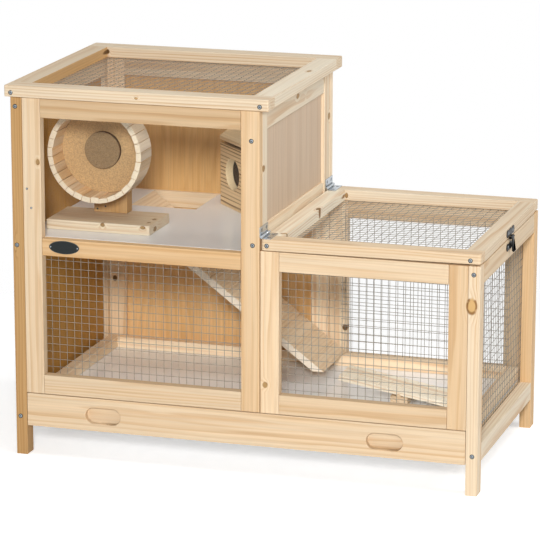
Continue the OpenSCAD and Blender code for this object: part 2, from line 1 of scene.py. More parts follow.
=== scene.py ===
import json
import math
import bpy
import numpy as np
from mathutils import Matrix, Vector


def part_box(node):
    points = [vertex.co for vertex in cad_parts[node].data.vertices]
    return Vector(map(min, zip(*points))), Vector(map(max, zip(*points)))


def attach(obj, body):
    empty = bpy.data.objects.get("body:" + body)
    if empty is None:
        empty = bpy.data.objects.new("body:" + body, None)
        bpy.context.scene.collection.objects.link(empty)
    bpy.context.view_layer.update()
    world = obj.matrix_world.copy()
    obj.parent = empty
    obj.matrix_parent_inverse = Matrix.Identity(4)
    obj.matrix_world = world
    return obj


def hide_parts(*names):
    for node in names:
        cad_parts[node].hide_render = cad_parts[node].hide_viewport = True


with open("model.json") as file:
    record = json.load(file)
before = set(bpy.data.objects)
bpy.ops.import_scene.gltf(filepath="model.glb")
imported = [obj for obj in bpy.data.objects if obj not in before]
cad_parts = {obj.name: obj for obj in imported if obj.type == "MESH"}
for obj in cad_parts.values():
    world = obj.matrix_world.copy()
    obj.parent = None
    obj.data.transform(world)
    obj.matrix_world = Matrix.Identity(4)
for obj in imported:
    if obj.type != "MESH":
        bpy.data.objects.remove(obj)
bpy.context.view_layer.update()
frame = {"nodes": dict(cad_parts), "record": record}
rng = np.random.default_rng(11)
origin = np.array([-0.4022, -0.21425, 0.0])  # front left corner of the body in the part frame
cageSizes = {"width": 800, "depth": 430, "towerWidth": 431, "towerTop": 615, "lidTop": 404}  # in millimetres
bodyOf = {n: b for b, nodes in frame["record"]["behaviour"]["bodies"].items() for n in nodes}
print("frame loaded:", len(frame["nodes"]), "nodes")


def at(x, y, z):  # millimetres from the front left corner of the body to metres in the part frame
    return origin + np.array([x, y, z]) / 1000.0


def linear(code):  # sRGB hex to linear: ((c + 0.055) / 1.055) to the power 2.4, or c / 12.92 near black
    c = np.array([int(code[i:i + 2], 16) for i in (1, 3, 5)]) / 255.0
    return tuple(np.where(c > 0.04045, ((c + 0.055) / 1.055) ** 2.4, c / 12.92)) + (1.0,)


# Mesh helpers

facePoints, faceQuads = 36, 25  # vertices and quads on each face of a rounded board


def roundedBoard(lo, hi, r, openFace=()):  # point of the box clamped into the inner box, then pushed out by r
    lo, hi = np.asarray(lo, float), np.asarray(hi, float)
    r = min(r, 0.45 * float(np.min(hi - lo)))
    t = r * np.tan(np.radians([45.0, 22.5, 0.0]))
    ticks = [np.concatenate([lo[i] + r - t, (hi[i] - r + t)[::-1]]) for i in range(3)]
    verts, norms, faces, base = [], [], [], 0
    for axis in range(3):
        a, b = (axis + 1) % 3, (axis + 2) % 3
        for side in (0, 1):
            ga, gb = np.meshgrid(ticks[a], ticks[b], indexing="ij")
            q = np.empty(ga.shape + (3,))
            q[..., a], q[..., b], q[..., axis] = ga, gb, (lo, hi)[side][axis]
            c = np.clip(q, lo + r, hi - r)
            n = (q - c) / np.linalg.norm(q - c, axis=-1, keepdims=True)
            i = base + np.arange(facePoints).reshape(6, 6)
            quads = np.stack([i[:-1, :-1], i[1:, :-1], i[1:, 1:], i[:-1, 1:]], -1)
            keep = np.ones((5, 5), bool)
            keep[2, 2] = (axis, side) not in openFace
            quads = quads[keep]
            verts.append((c + r * n).reshape(-1, 3))
            norms.append(n.reshape(-1, 3))
            faces += (quads if side else quads[:, ::-1]).tolist()
            base += facePoints
    return np.concatenate(verts), np.concatenate(norms), faces


def faceRange(axis, side, count):  # where one face's vertices or quads stand in a rounded board
    block = 2 * axis + side
    return slice(count * block, count * block + count)


def gridQuads(i):  # quads between the rows of an index grid that closes on itself
    j = np.roll(i, -1, 1)
    return np.stack([i[:-1], j[:-1], j[1:], i[1:]], -1).reshape(-1, 4).tolist()


def roundOutline(points, r, seg=3):  # each corner becomes an arc of radius r, tangent length r tan(turn / 2)
    p = np.asarray(points, float)
    out, norms = [], []
    for k in range(len(p)):
        d1, d2 = p[k] - p[k - 1], p[(k + 1) % len(p)] - p[k]
        l1, l2 = np.linalg.norm(d1), np.linalg.norm(d2)
        d1, d2 = d1 / l1, d2 / l2
        turn = math.atan2(d1[0] * d2[1] - d1[1] * d2[0], float(d1 @ d2))
        n1 = np.array([d1[1], -d1[0]])
        rr = min(r, 0.45 * min(l1, l2) / max(math.tan(abs(turn) / 2), 1e-6))
        s = math.copysign(1.0, turn)
        centre = p[k] - d1 * rr * math.tan(abs(turn) / 2) - n1 * rr * s
        a = np.linspace(0.0, turn, seg + 1)
        n = np.stack([n1[0] * np.cos(a) - n1[1] * np.sin(a), n1[0] * np.sin(a) + n1[1] * np.cos(a)], 1)
        out.append(centre + n * rr * s)
        norms.append(n)
    return np.concatenate(out), np.concatenate(norms)


def prism(outline, d0, d1, r, r1=None):
    # rows inset by r(1 - cos a) and raised by r(1 - sin a), a from 90 to 0
    p, n2 = outline
    count = len(p)
    r1 = r if r1 is None else r1
    a = np.radians([90.0, 60.0, 30.0, 0.0])
    inset = np.concatenate([r * (1 - np.cos(a)), (r1 * (1 - np.cos(a)))[::-1]])
    depth = np.concatenate([d0 + r * (1 - np.sin(a)), (d1 - r1 * (1 - np.sin(a)))[::-1]])
    side = np.concatenate([np.cos(a), np.cos(a)[::-1]])
    up = np.concatenate([-np.sin(a), np.sin(a)[::-1]])
    verts = np.empty((8, count, 3))
    verts[..., :2] = p[None] - n2[None] * inset[:, None, None]
    verts[..., 2] = depth[:, None]
    norms = np.empty((8, count, 3))
    norms[..., :2] = n2[None] * side[:, None, None]
    norms[..., 2] = up[:, None]
    i = np.arange(8 * count).reshape(8, count)
    faces = gridQuads(i)
    faces += [i[0, ::-1].tolist(), i[-1].tolist()]
    return verts.reshape(-1, 3), norms.reshape(-1, 3), faces


def lathe(profile, count):
    # profile of radius and height turned about the third axis, normals across the profile
    p = np.asarray(profile, float)
    d = np.gradient(p, axis=0)
    nr = np.stack([d[:, 1], -d[:, 0]], 1)
    nr /= np.maximum(np.linalg.norm(nr, axis=1, keepdims=True), 1e-12)
    a = np.linspace(0.0, 2 * math.pi, count, endpoint=False)
    c, s = np.cos(a)[None], np.sin(a)[None]
    verts = np.stack([p[:, :1] * c, p[:, :1] * s, np.repeat(p[:, 1:], count, 1)], -1)
    norms = np.stack([nr[:, :1] * c, nr[:, :1] * s, np.repeat(nr[:, 1:], count, 1)], -1)
    i = np.arange(len(p) * count).reshape(len(p), count)
    faces = gridQuads(i)
    return verts.reshape(-1, 3), norms.reshape(-1, 3), faces


def turned(r, h0, h1, edge, count):  # solid disc or rod with rounded rims
    a = np.radians(np.linspace(0, 90, 5))
    low = np.stack([r - edge + edge * np.sin(a), h0 + edge - edge * np.cos(a)], 1)
    high = np.stack([r - edge + edge * np.cos(a), h1 - edge + edge * np.sin(a)], 1)
    inner = [[1e-5, h0], [(r - edge) * 0.5, h0], [(r - edge) * 0.98, h0]]
    outer = [[(r - edge) * 0.98, h1], [(r - edge) * 0.5, h1], [1e-5, h1]]
    return lathe(np.concatenate([inner, low, high, outer]), count)


def moved(mesh, columns, shift):  # local axes sent to the given columns, then shifted
    m = np.stack(columns, 1)
    v, n, f = mesh
    return v @ m.T + np.asarray(shift), n @ m.T, f


def joined(meshes):  # several meshes as one list of vertices and faces
    verts, norms, faces, base = [], [], [], 0
    for v, n, f in meshes:
        verts.append(v)
        norms.append(n)
        faces += [[k + base for k in q] for q in f]
        base += len(v)
    return np.concatenate(verts), np.concatenate(norms), faces


def islands(node):
    # boxes of the separate solids in a CAD node, from left to right, front to back, low to high
    mesh = frame["nodes"][node].data
    co = np.empty(len(mesh.vertices) * 3)
    mesh.vertices.foreach_get("co", co)
    co = co.reshape(-1, 3)
    key = np.unique(np.round(co * 1e6).astype(np.int64), axis=0, return_inverse=True)[1].ravel()
    tris = np.empty(len(mesh.loops), np.int32)
    mesh.loops.foreach_get("vertex_index", tris)
    tri = key[tris.reshape(-1, 3)]
    label = np.arange(key.max() + 1)
    while True:
        low = label[tri].min(1)
        fresh = label.copy()
        for k in range(3):
            np.minimum.at(fresh, tri[:, k], low)
        fresh = fresh[fresh]
        if np.array_equal(fresh, label):
            break
        label = fresh
    own = label[key]
    boxes = [(co[own == k].min(0), co[own == k].max(0)) for k in np.unique(own)]
    return sorted(boxes, key=lambda box: tuple(np.round(box[0], 4)))


def grain(v, along, wide, pith):  # place along the fibre, and across it from a pith off the wide face
    along = np.asarray(along, float)
    along = along / np.linalg.norm(along)
    size = v.max(0) - v.min(0)
    wide = np.eye(3)[np.argsort(size)[0]] if wide is None else np.asarray(wide, float)
    wide = wide - along * (wide @ along)
    wide = wide / np.linalg.norm(wide)
    cross = np.cross(along, wide)
    p = v - (v.max(0) + v.min(0)) / 2
    turn = rng.normal(0.0, 0.35) + (math.pi if rng.random() < 0.5 else 0.0)
    away = rng.uniform(*pith)
    rows = (p @ along + rng.uniform(0, 9), p @ wide + away * math.cos(turn),
            p @ cross + away * math.sin(turn))
    return np.stack(rows, 1)


def part(mesh, along=(1, 0, 0), tone=1.0, warm=0.4, slot=0, wide=None, pith=(0.018, 0.07)):
    # mesh with its grain, brightness, warmth and material slot
    v, n, f = mesh
    return {"v": v, "n": n, "f": f, "g": grain(v, along, wide, pith), "t": np.full(len(v), tone),
            "w": np.full(len(v), warm), "m": slot if isinstance(slot, list) else [slot] * len(f)}


def piece(name, parts, materials, nodes, body=None):
    # one object from parts, riding on its CAD body
    verts = np.concatenate([p["v"] for p in parts])
    faces, index, base = [], [], 0
    for p in parts:
        faces += [[k + base for k in q] for q in p["f"]]
        index += p["m"]
        base += len(p["v"])
    mesh = bpy.data.meshes.new(name)
    mesh.from_pydata(verts.tolist(), [], faces)
    fields = (("grainPos", "FLOAT_VECTOR", "g"), ("tone", "FLOAT", "t"), ("warm", "FLOAT", "w"))
    for label, kind, key in fields:
        data = np.concatenate([p[key] for p in parts]).ravel().astype(np.float32)
        field = "vector" if kind == "FLOAT_VECTOR" else "value"
        mesh.attributes.new(label, kind, "POINT").data.foreach_set(field, data)
    for m in materials:
        mesh.materials.append(m)
    mesh.polygons.foreach_set("material_index", index)
    mesh.polygons.foreach_set("use_smooth", [True] * len(faces))
    mesh.normals_split_custom_set_from_vertices(np.concatenate([p["n"] for p in parts]).tolist())
    obj = bpy.data.objects.new(name, mesh)
    bpy.context.collection.objects.link(obj)
    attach(obj, body or bodyOf[nodes[0]])
    if nodes:
        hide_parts(*nodes)
    return obj


# Materials

def add(tree, kind, inputs=None, out=0, **props):
    # one node with its settings, values and links, giving an output
    made = tree.nodes.new(kind)
    for k, v in props.items():
        setattr(made, k, v)
    for k, v in (inputs or {}).items():
        if isinstance(v, bpy.types.NodeSocket):
            tree.links.new(v, made.inputs[k])
        else:
            made.inputs[k].default_value = v
    return made.outputs if out is None else made.outputs[out]


smooth = {"interpolation_type": "SMOOTHSTEP"}


def span(value, a, b, low, high):  # inputs that send a..b to low..high
    return {"Value": value, "From Min": a, "From Max": b, "To Min": low, "To Max": high}


def noiseOf(place, detail, rough):  # inputs of a noise whose size is set by its place
    return {"Vector": place, "Scale": 1.0, "Detail": detail, "Roughness": rough}


def newMaterial(name):  # empty material with its output
    mat = bpy.data.materials.new(name)
    mat.use_nodes = True
    mat.node_tree.nodes.clear()
    return mat, mat.node_tree, mat.node_tree.nodes.new("ShaderNodeOutputMaterial")


def knotField(tree, dist, knots):
    # ring distance bent round each knot, and the knots' cores, rims and dark hearts
    place = add(tree, "ShaderNodeTexCoord", out="Object")
    core, rim, heart = 0.0, 0.0, 0.0
    for centre, axis, r1, r2, deep in knots:
        scale = [1000.0 / r1, 1000.0 / r2]
        scale.insert("xyz".index(axis), 35.0)
        rel = add(tree, "ShaderNodeVectorMath", {0: place, 1: tuple(at(*centre))}, operation="SUBTRACT")
        rel = add(tree, "ShaderNodeVectorMath", {0: rel, 1: tuple(scale)}, operation="MULTIPLY")
        near = add(tree, "ShaderNodeVectorMath", {0: rel}, "Value", operation="LENGTH")
        halo = add(tree, "ShaderNodeMapRange", span(near, 2.6, 0.6, 0.0, 0.005), **smooth)
        dist = add(tree, "ShaderNodeMath", {0: dist, 1: halo}, operation="ADD")
        spot = add(tree, "ShaderNodeMapRange", span(near, 1.1, 0.7, 0.0, 1.0), **smooth)
        core = add(tree, "ShaderNodeMath", {0: core, 1: spot}, operation="MAXIMUM")
        dark = add(tree, "ShaderNodeMath", {0: spot, 1: deep}, operation="MULTIPLY")
        heart = add(tree, "ShaderNodeMath", {0: heart, 1: dark}, operation="MAXIMUM")
        off = add(tree, "ShaderNodeMath", {0: near, 1: 0.85}, operation="SUBTRACT")
        off = add(tree, "ShaderNodeMath", {0: off}, operation="ABSOLUTE")
        edge = add(tree, "ShaderNodeMapRange", span(off, 0.3, 0.05, 0.0, 0.9), **smooth)
        rim = add(tree, "ShaderNodeMath", {0: rim, 1: edge}, operation="MAXIMUM")
    patchy = add(tree, "ShaderNodeTexNoise", {"Vector": place, "Scale": 110.0, "Detail": 1.0}, "Fac")
    patchy = add(tree, "ShaderNodeMapRange", span(patchy, 0.4, 0.55, 0.15, 1.0))
    rim = add(tree, "ShaderNodeMath", {0: rim, 1: patchy}, operation="MULTIPLY")
    return dist, ((core, "#CDA56C"), (heart, "#4F3519"), (rim, "#835A2B"))


def woodMaterial(name, pale, warm, late, look, knots=()):
    # growth rings: fraction of the distance from the pith over the ring width
    # fibre streaks: fine noise drawn out along the grain
    mat, tree, out = newMaterial(name)
    pos = add(tree, "ShaderNodeAttribute", out="Vector", attribute_name="grainPos")
    tone = add(tree, "ShaderNodeAttribute", out="Fac", attribute_name="tone")
    warmth = add(tree, "ShaderNodeAttribute", out="Fac", attribute_name="warm")
    slow = add(tree, "ShaderNodeVectorMath", {0: pos, 1: (2.2, 14.0, 14.0)}, operation="MULTIPLY")
    drift = add(tree, "ShaderNodeTexNoise", noiseOf(slow, 2.0, 0.5), "Fac")
    broad = add(tree, "ShaderNodeVectorMath", {0: pos, 1: (2.0, 70.0, 70.0)}, operation="MULTIPLY")
    band = add(tree, "ShaderNodeTexNoise", noiseOf(broad, 2.0, 0.55), "Fac")
    flat = add(tree, "ShaderNodeVectorMath", {0: pos, 1: (0.0, 1.0, 1.0)}, operation="MULTIPLY")
    dist = add(tree, "ShaderNodeVectorMath", {0: flat}, "Value", operation="LENGTH")
    dist = add(tree, "ShaderNodeMath", {0: drift, 1: look["wander"], 2: dist}, operation="MULTIPLY_ADD")
    dist = add(tree, "ShaderNodeMath", {0: band, 1: look["uneven"], 2: dist}, operation="MULTIPLY_ADD")
    marks = ()
    if knots:
        dist, marks = knotField(tree, dist, knots)
    phase = add(tree, "ShaderNodeMath", {0: dist, 1: 1.0 / look["ring"]}, operation="MULTIPLY")
    phase = add(tree, "ShaderNodeMath", {0: phase}, operation="FRACT")
    rise = add(tree, "ShaderNodeMapRange", span(phase, look["start"], 0.86, 0.0, 1.0), **smooth)
    fall = add(tree, "ShaderNodeMapRange", span(phase, 1.0, 0.9, 0.0, 1.0), **smooth)
    rings = add(tree, "ShaderNodeMath", {0: rise, 1: fall}, operation="MULTIPLY")
    fine = add(tree, "ShaderNodeVectorMath", {0: pos, 1: (7.0, 430.0, 430.0)}, operation="MULTIPLY")
    fibre = add(tree, "ShaderNodeTexNoise", noiseOf(fine, 3.0, 0.6), "Fac")
    sway = add(tree, "ShaderNodeMapRange", span(band, 0.3, 0.7, -look["sway"], look["sway"]))
    sway = add(tree, "ShaderNodeMath", {0: sway, 1: warmth}, operation="ADD")
    early = add(tree, "ShaderNodeMix", {"Factor": sway, "A": linear(pale), "B": linear(warm)}, "Result",
                data_type="RGBA", clamp_factor=False)
    low, high = look["contrast"] * (1 - look["vary"]), look["contrast"] * (1 + look["vary"])
    strength = add(tree, "ShaderNodeMapRange", span(band, 0.35, 0.65, low, high))
    amount = add(tree, "ShaderNodeMath", {0: rings, 1: strength}, operation="MULTIPLY")
    colour = add(tree, "ShaderNodeMix", {"Factor": amount, "A": early, "B": linear(late)}, "Result",
                 data_type="RGBA")
    streak = span(fibre, 0.3, 0.7, 1.0 - look["streak"], 1.0 + 0.6 * look["streak"])
    shade = add(tree, "ShaderNodeMapRange", streak)
    shade = add(tree, "ShaderNodeMath", {0: shade, 1: tone}, operation="MULTIPLY")
    colour = add(tree, "ShaderNodeVectorMath", {0: colour, "Scale": shade}, operation="SCALE")
    for amount, paint in marks:
        colour = add(tree, "ShaderNodeMix", {"Factor": amount, "A": colour, "B": linear(paint)}, "Result",
                     data_type="RGBA")
    height = add(tree, "ShaderNodeMath", {0: rings, 1: -0.4, 2: fibre}, operation="MULTIPLY_ADD")
    relief = add(tree, "ShaderNodeBump", {"Strength": look["bump"], "Distance": 0.0003, "Height": height})
    shader = add(tree, "ShaderNodeBsdfPrincipled", {"Base Color": colour, "Roughness": look["rough"],
                                                    "Normal": relief, "Specular IOR Level": 0.3})
    tree.links.new(shader, out.inputs[0])
    return mat


def plainMaterial(name, colour, rough, metal=0.0, speck=0.0, size=900.0, bump=0.0, gloss=0.5):
    # flat colour with a fine noise speck and a matching bump
    mat, tree, out = newMaterial(name)
    place = add(tree, "ShaderNodeTexCoord", out="Object")
    noise = add(tree, "ShaderNodeTexNoise",
                {"Vector": place, "Scale": size, "Detail": 3.0, "Roughness": 0.65}, "Fac")
    shade = add(tree, "ShaderNodeMapRange", span(noise, 0.3, 0.7, 1.0 - speck, 1.0 + speck))
    tint = add(tree, "ShaderNodeVectorMath", {0: linear(colour)[:3], "Scale": shade}, operation="SCALE")
    relief = add(tree, "ShaderNodeBump", {"Strength": bump, "Distance": 0.0003, "Height": noise})
    shader = add(tree, "ShaderNodeBsdfPrincipled", {"Base Color": tint, "Roughness": rough, "Metallic": metal,
                                                    "Normal": relief, "Specular IOR Level": gloss})
    tree.links.new(shader, out.inputs[0])
    return mat


def clearMaterial(name):  # straight-through sheet with a weak mirror that grows at grazing angles
    mat, tree, out = newMaterial(name)
    edge = add(tree, "ShaderNodeFresnel", {"IOR": 1.25})
    back = add(tree, "ShaderNodeNewGeometry", out="Backfacing")
    front = add(tree, "ShaderNodeMath", {0: 1.0, 1: back}, operation="SUBTRACT")
    edge = add(tree, "ShaderNodeMath", {0: edge, 1: front}, operation="MULTIPLY")
    clear = add(tree, "ShaderNodeBsdfTransparent", {"Color": (0.975, 0.98, 0.98, 1.0)})
    shine = add(tree, "ShaderNodeBsdfGlossy", {"Color": (1.0, 1.0, 1.0, 1.0), "Roughness": 0.02})
    blend = add(tree, "ShaderNodeMixShader", {0: edge, 1: clear, 2: shine})
    tree.links.new(blend, out.inputs[0])
    return mat


pineKnots = [  # centre in millimetres, axis the knot runs along, radii on the face, darkness of its heart
    ((786.3, 0.0, 318.2), "y", 9.0, 14.0, 0.0), ((47.0, 0.0, 507.6), "y", 3.6, 5.0, 0.5),
    ((440.4, 0.0, 158.0), "y", 4.5, 5.5, 0.4), ((461.0, 412.0, 152.4), "y", 4.5, 6.0, 0.95),
    ((30.2, 412.0, 210.4), "y", 4.5, 5.5, 0.85), ((431.0, 23.3, 516.1), "x", 7.0, 6.0, 0.5),
    ((431.0, 406.3, 531.8), "x", 7.0, 6.5, 0.4), ((431.0, 222.0, 600.1), "x", 8.0, 4.5, 0.3),
    ((435.0, 268.0, 635.0), "z", 4.0, 8.0, 0.4), ((460.0, 241.7, 404.0), "z", 3.6, 9.5, 0.7),
    ((459.0, 49.3, 404.0), "z", 7.0, 4.0, 0.3), ((465.3, 392.0, 394.2), "y", 3.0, 5.0, 0.4),
    ((28.3, 397.0, 626.4), "y", 3.2, 4.2, 0.95), ((222.9, -7.0, 625.5), "y", 3.0, 2.0, 0.2),
    ((133.8, 70.0, 391.3), "y", 4.0, 3.6, 0.5), ((204.9, 70.0, 391.5), "y", 5.0, 3.0, 0.4),
    ((207.0, 96.0, 395.0), "z", 3.0, 4.5, 0.5), ((208.0, 120.8, 395.0), "z", 3.4, 6.0, 0.5),
    ((217.0, 98.6, 384.0), "x", 8.0, 4.0, 0.4)]
honeyKnots = [((4.8, 0.0, 363.6), "y", 2.5, 13.0, 0.2)]
pineLook = {"ring": 0.0046, "wander": 0.014, "contrast": 0.34, "start": 0.3, "rough": 0.6, "streak": 0.08,
            "sway": 0.16, "bump": 0.1, "vary": 0.6, "uneven": 0.006}
hutLook = dict(pineLook, ring=0.0064, contrast=0.72, start=0.5, wander=0.012, streak=0.12, vary=0.7)
rampLook = dict(pineLook, ring=0.0068, contrast=0.22, wander=0.01)
plyLook = dict(pineLook, ring=0.0062, wander=0.06, contrast=0.26, start=0.1, streak=0.14, sway=0.16)
veneerLook = dict(pineLook, ring=0.006, wander=0.02, contrast=0.14, start=0.1, streak=0.1, sway=0.25)

pine = woodMaterial("pinePlaned", "#E2CFB3", "#DDB889", "#C1935F", pineLook, pineKnots)  # planed white pine
# planed yellow pine
honeyPine = woodMaterial("honeyPinePlaned", "#CBA470", "#BF925A", "#A2723D", pineLook, honeyKnots)
# brushed pine with faint lines
rampPine = woodMaterial("pineBrushed", "#E2CFB3", "#DDB889", "#B98A56", rampLook)
# pine with dark lines of late wood
hutPine = woodMaterial("pineSanded", "#EBD0A6", "#E2BE8C", "#6F4C2A", hutLook)
# greyer sawn face of the staves
sawnPine = woodMaterial("pineSawn", "#DBCBB6", "#D6BE9F", "#B89A77", pineLook)
# inside faces of the hut, dark as painted shade
shadedHutInside = plainMaterial("pineInsidePaintedShade", "#57432C", 0.85, 0.0, 0.1, 300.0)
litDoorBore = plainMaterial("pineBoredPaintedLight", "#E9CFA4", 0.7, 0.0, 0.08, 500.0)  # plain pale wall of the bored door, lighter as painted light
# pale front face of the ramp, lighter as painted light
litRampFace = plainMaterial("pineRampFacePaintedLight", "#FBEEDA", 0.75, 0.0, 0.05, 500.0)
endPine = plainMaterial("pineEndGrain", "#EBDABF", 0.75, 0.0, 0.09, 700.0, 0.2)  # pale sawn ends
# sanded poplar veneer
plywood = woodMaterial("poplarPlywoodSanded", "#EDC590", "#DFAE6C", "#CB9752", plyLook)
# sanded okoume veneer
outerPly = woodMaterial("okoumePlywoodSanded", "#D5C0A8", "#CDB296", "#BB9F83", veneerLook)
# glossy melamine tray, made whiter than the floor board as painted light
laminate = plainMaterial("whiteMelamineGloss", "#FBFBFB", 0.16, 0.0, 0.015, 300.0, 0.02)
# satin melamine floor
floorBoard = plainMaterial("whiteMelamineSatin", "#EFEFEF", 0.2, 0.0, 0.015, 300.0, 0.02)
fibreboard = plainMaterial("fibreboardRaw", "#C3A071", 0.78, 0.0, 0.26, 420.0, 0.05)  # raw fibreboard
greyBoard = plainMaterial("fibreboardSanded", "#8E7452", 0.75, 0.0, 0.24, 440.0, 0.05)  # sanded fibreboard
edgeBoard = plainMaterial("fibreboardSawnEdge", "#5E472D", 0.8, 0.0, 0.08, 900.0)  # darker side face of the hub
wire = plainMaterial("galvanisedWire", "#908A80", 0.5, 0.35, 0.08, 400.0)  # galvanised steel wire
zinc = plainMaterial("zincBright", "#B9BFC4", 0.24, 1.0, 0.05, 500.0, 0.03)  # bright zinc plate
screwSteel = plainMaterial("screwSteelPolished", "#9AA3AA", 0.3, 1.0, 0.05, 500.0)  # polished screw steel
darkSteelAndShade = plainMaterial("darkSteelAndPaintedShade", "#2B2A29", 0.6, 0.3, 0.05)  # dark steel, and painted shade in screw recesses and in rings round screw and nail heads
# black lacquered iron
blackIron = plainMaterial("ironBlackSatin", "#0E0D0C", 0.36, 0.0, 0.12, 260.0, 0.08, 0.2)
badge = plainMaterial("bronzeDarkSatin", "#1B2020", 0.5, 0.1, 0.06, 300.0, 0.0, 0.3)  # dark bronze plate
pewter = plainMaterial("pewterRim", "#4C4E4B", 0.4, 0.5, 0.06, 300.0)  # worn rim of the plate
acrylic = clearMaterial("acrylicClear")  # clear acrylic sheet
print("materials made:", len(bpy.data.materials))


# Boards: every plain timber piece, its grain along its longest side

boardTunables = {"edge": 0.0009, "plyEdge": 0.0004, "gap": 0.0002, "runLift": 0.0014, "towerLift": 0.0009}
# many brightness and warmth values stand for light: the left panel, wheel post and one back panel are darker
# and warmer as painted shade; the back stiles, seesaw board, drawer back and drawer sides are lighter as
# painted light
boardLook = {  # warmth and brightness of the boards of each node, in the order of islands
    "leg_front_right": [(0.15, 1.02)], "leg_back_left": [(0.4, 1.0)], "leg_back_right": [(0.95, 1.0)],
    "leg_front_left": [(0.5, 0.89)], "tower_stiles": [(0.35, 0.97), (0.72, 0.98)],
    "tower_rail_top": [(0.7, 0.81)],
    "tower_rail_mid": [(0.95, 0.94)], "tower_rail_bottom": [(0.4, 0.92)],
    "run_stiles": [(0.42, 1.07), (0.7, 0.95)],
    "run_rail_top": [(0.4, 0.98)], "run_rail_bottom": [(0.5, 0.93)],
    "side_rails": [(-0.2, 1.01), (0.3, 0.95)],
    "right_posts": [(-0.25, 1.04), (0.1, 1.1)], "right_rail_top": [(-0.3, 1.04)],
    "right_rail_bottom": [(-0.25, 1.15)],
    "run_lid_short": [(-0.6, 1.12), (0.0, 0.97)], "tower_lid_short": [(0.2, 0.88), (-0.35, 1.05)],
    "run_lid_long": [(0.35, 0.97), (-0.1, 1.02)], "tower_lid_long": [(0.0, 0.95), (0.0, 0.96)],
    "drawer_front": [(0.38, 0.97)], "wheel_base": [(-0.1, 1.07)], "wheel_post": [(1.4, 0.78)],
    "back_stiles": [(0.5, 1.16), (-0.1, 1.32), (0.05, 1.13), (0.5, 0.95)],
    "drawer_sides": [(0.2, 1.12), (0.1, 1.1)],
    "drawer_back": [(0.1, 1.3)], "left_panel": [(1.6, 0.7)], "back_panels": [(0.3, 1.03), (0.8, 0.91)],
    "ramp": [(0.25, 1.08)], "seesaw_board": [(-0.6, 1.18)], "seesaw_block": [(0.3, 1.0)],
    "seesaw_dowel": [(0.3, 1.0)]}

# board, axis and side of a face darkened as painted shade, with its own warmth and brightness: the inner face
# of the left short tower lid board and the top of the wheel base
paintedShadeFaces = {"tower_lid_short": {(0, 0, 1): (1.3, 0.82)}, "wheel_base": {(0, 2, 1): (0.2, 0.96)}}


def lookOf(node, k):  # warmth and brightness of one board
    looks = boardLook.get(node, [(0.4, 1.0)])
    return dict(zip(("warm", "tone"), looks[k % len(looks)]))


def longest(lo, hi):  # unit vector of the longest side
    return np.eye(3)[int(np.argmax(np.asarray(hi) - np.asarray(lo)))]


def boardPiece(node, material, along=None, edge=boardTunables["edge"], pith=(0.018, 0.07), lift=0.0,
               gap=boardTunables["gap"], outside=None):
    # each solid's box drawn in by a hair so that joints show as fine lines
    # outside names a face with its own veneer
    gap = gap * np.array([1, 1, 0 if node.startswith("leg") else 1])
    parts = []
    for k, (lo, hi) in enumerate(islands(node)):
        mesh = roundedBoard(lo + gap + (0, 0, lift), hi - gap, edge)
        way = longest(lo, hi) if along is None else along
        board = part(mesh, way, pith=pith, **lookOf(node, k))
        # a listed face takes its darker painted shade
        for (index, axis, side), look in paintedShadeFaces.get(node, {}).items():
            if index == k:
                points = faceRange(axis, side, facePoints)
                board["w"][points], board["t"][points] = look
        # the outside face is set back to full brightness, so painted shade in the board's tone stays on the
        # inside faces
        if outside:
            board["m"][faceRange(*outside, faceQuads)] = [1] * faceQuads
            board["t"][faceRange(*outside, facePoints)] = 1.0
        parts.append(board)
    return piece(node + "_wood", parts, [material, outerPly] if outside else [material], [node])


for name in ("leg_front_right", "leg_back_left", "tower_stiles", "tower_rail_top", "tower_rail_mid",
             "tower_rail_bottom", "left_rails", "back_rails", "right_posts", "right_rail_top",
             "right_rail_bottom", "storey_beam", "run_stiles", "run_rail_top", "run_rail_bottom",
             "side_rails", "floor_bearers", "wheel_base", "wheel_post", "tray_runners",
             "drawer_sides", "drawer_back"):
    boardPiece(name, pine)
boardPiece("back_stiles", pine, edge=boardTunables["plyEdge"], gap=0.0)
boardPiece("run_lid_short", pine, lift=boardTunables["runLift"])
boardPiece("tower_lid_short", pine, lift=boardTunables["towerLift"])
boardPiece("leg_front_left", honeyPine)
boardPiece("leg_back_right", pine)
for name, face in (("left_panel", (0, 0)), ("back_panels", (1, 1))):
    boardPiece(name, plywood, (0, 0, 1), boardTunables["plyEdge"], (0.25, 0.4), outside=face)
boardPiece("right_panel", outerPly, (0, 0, 1), boardTunables["plyEdge"], (0.25, 0.4))
boardPiece("drawer_floor", laminate, (1, 0, 0), 0.0006)
boardPiece("tower_window", acrylic, (1, 0, 0), 0.0003)
print("boards made")


# Lid boards with rounded outer corners

lidTunables = {"run_lid_long": (6.0, 0.0009, 0.0022, 0.0), "tower_lid_long": (2.5, 0.0009, 0.0, 0.0006)}


def lidBoards(node):  # long boards: outline with two rounded corners, swept up by the lid thickness
    corner, lift, rise, face = lidTunables[node]
    parts = []
    for k, (lo, hi) in enumerate(islands(node)):
        front = lo[1] < 0
        lo = lo + (0, face if front else 0, 0)
        pts = [(lo[0], lo[1]), (hi[0], lo[1]), (hi[0], hi[1]), (lo[0], hi[1])]
        shape, norms = [], []
        for c in range(4):
            r = corner / 1000 if (c < 2) == front else boardTunables["edge"]
            o, n = roundOutline(pts, r, 4)
            shape.append(o[c * 5:c * 5 + 5])
            norms.append(n[c * 5:c * 5 + 5])
        v, n, f = prism((np.concatenate(shape), np.concatenate(norms)), lo[2] + lift, hi[2], 0.0012)
        low = v[:, 2] < (lo[2] + hi[2]) / 2
        v[low, 2] += rise * (v[low, 0] - lo[0]) / (hi[0] - lo[0])  # underside drawn up towards the right end
        parts.append(part((v, n, f), (1, 0, 0), **lookOf(node, k)))
    return piece(node + "_wood", parts, [pine], [node])


for name in lidTunables:
    lidBoards(name)


# Boards with a hole: flat ring between the hole and the rectangle, and a wall into the hole

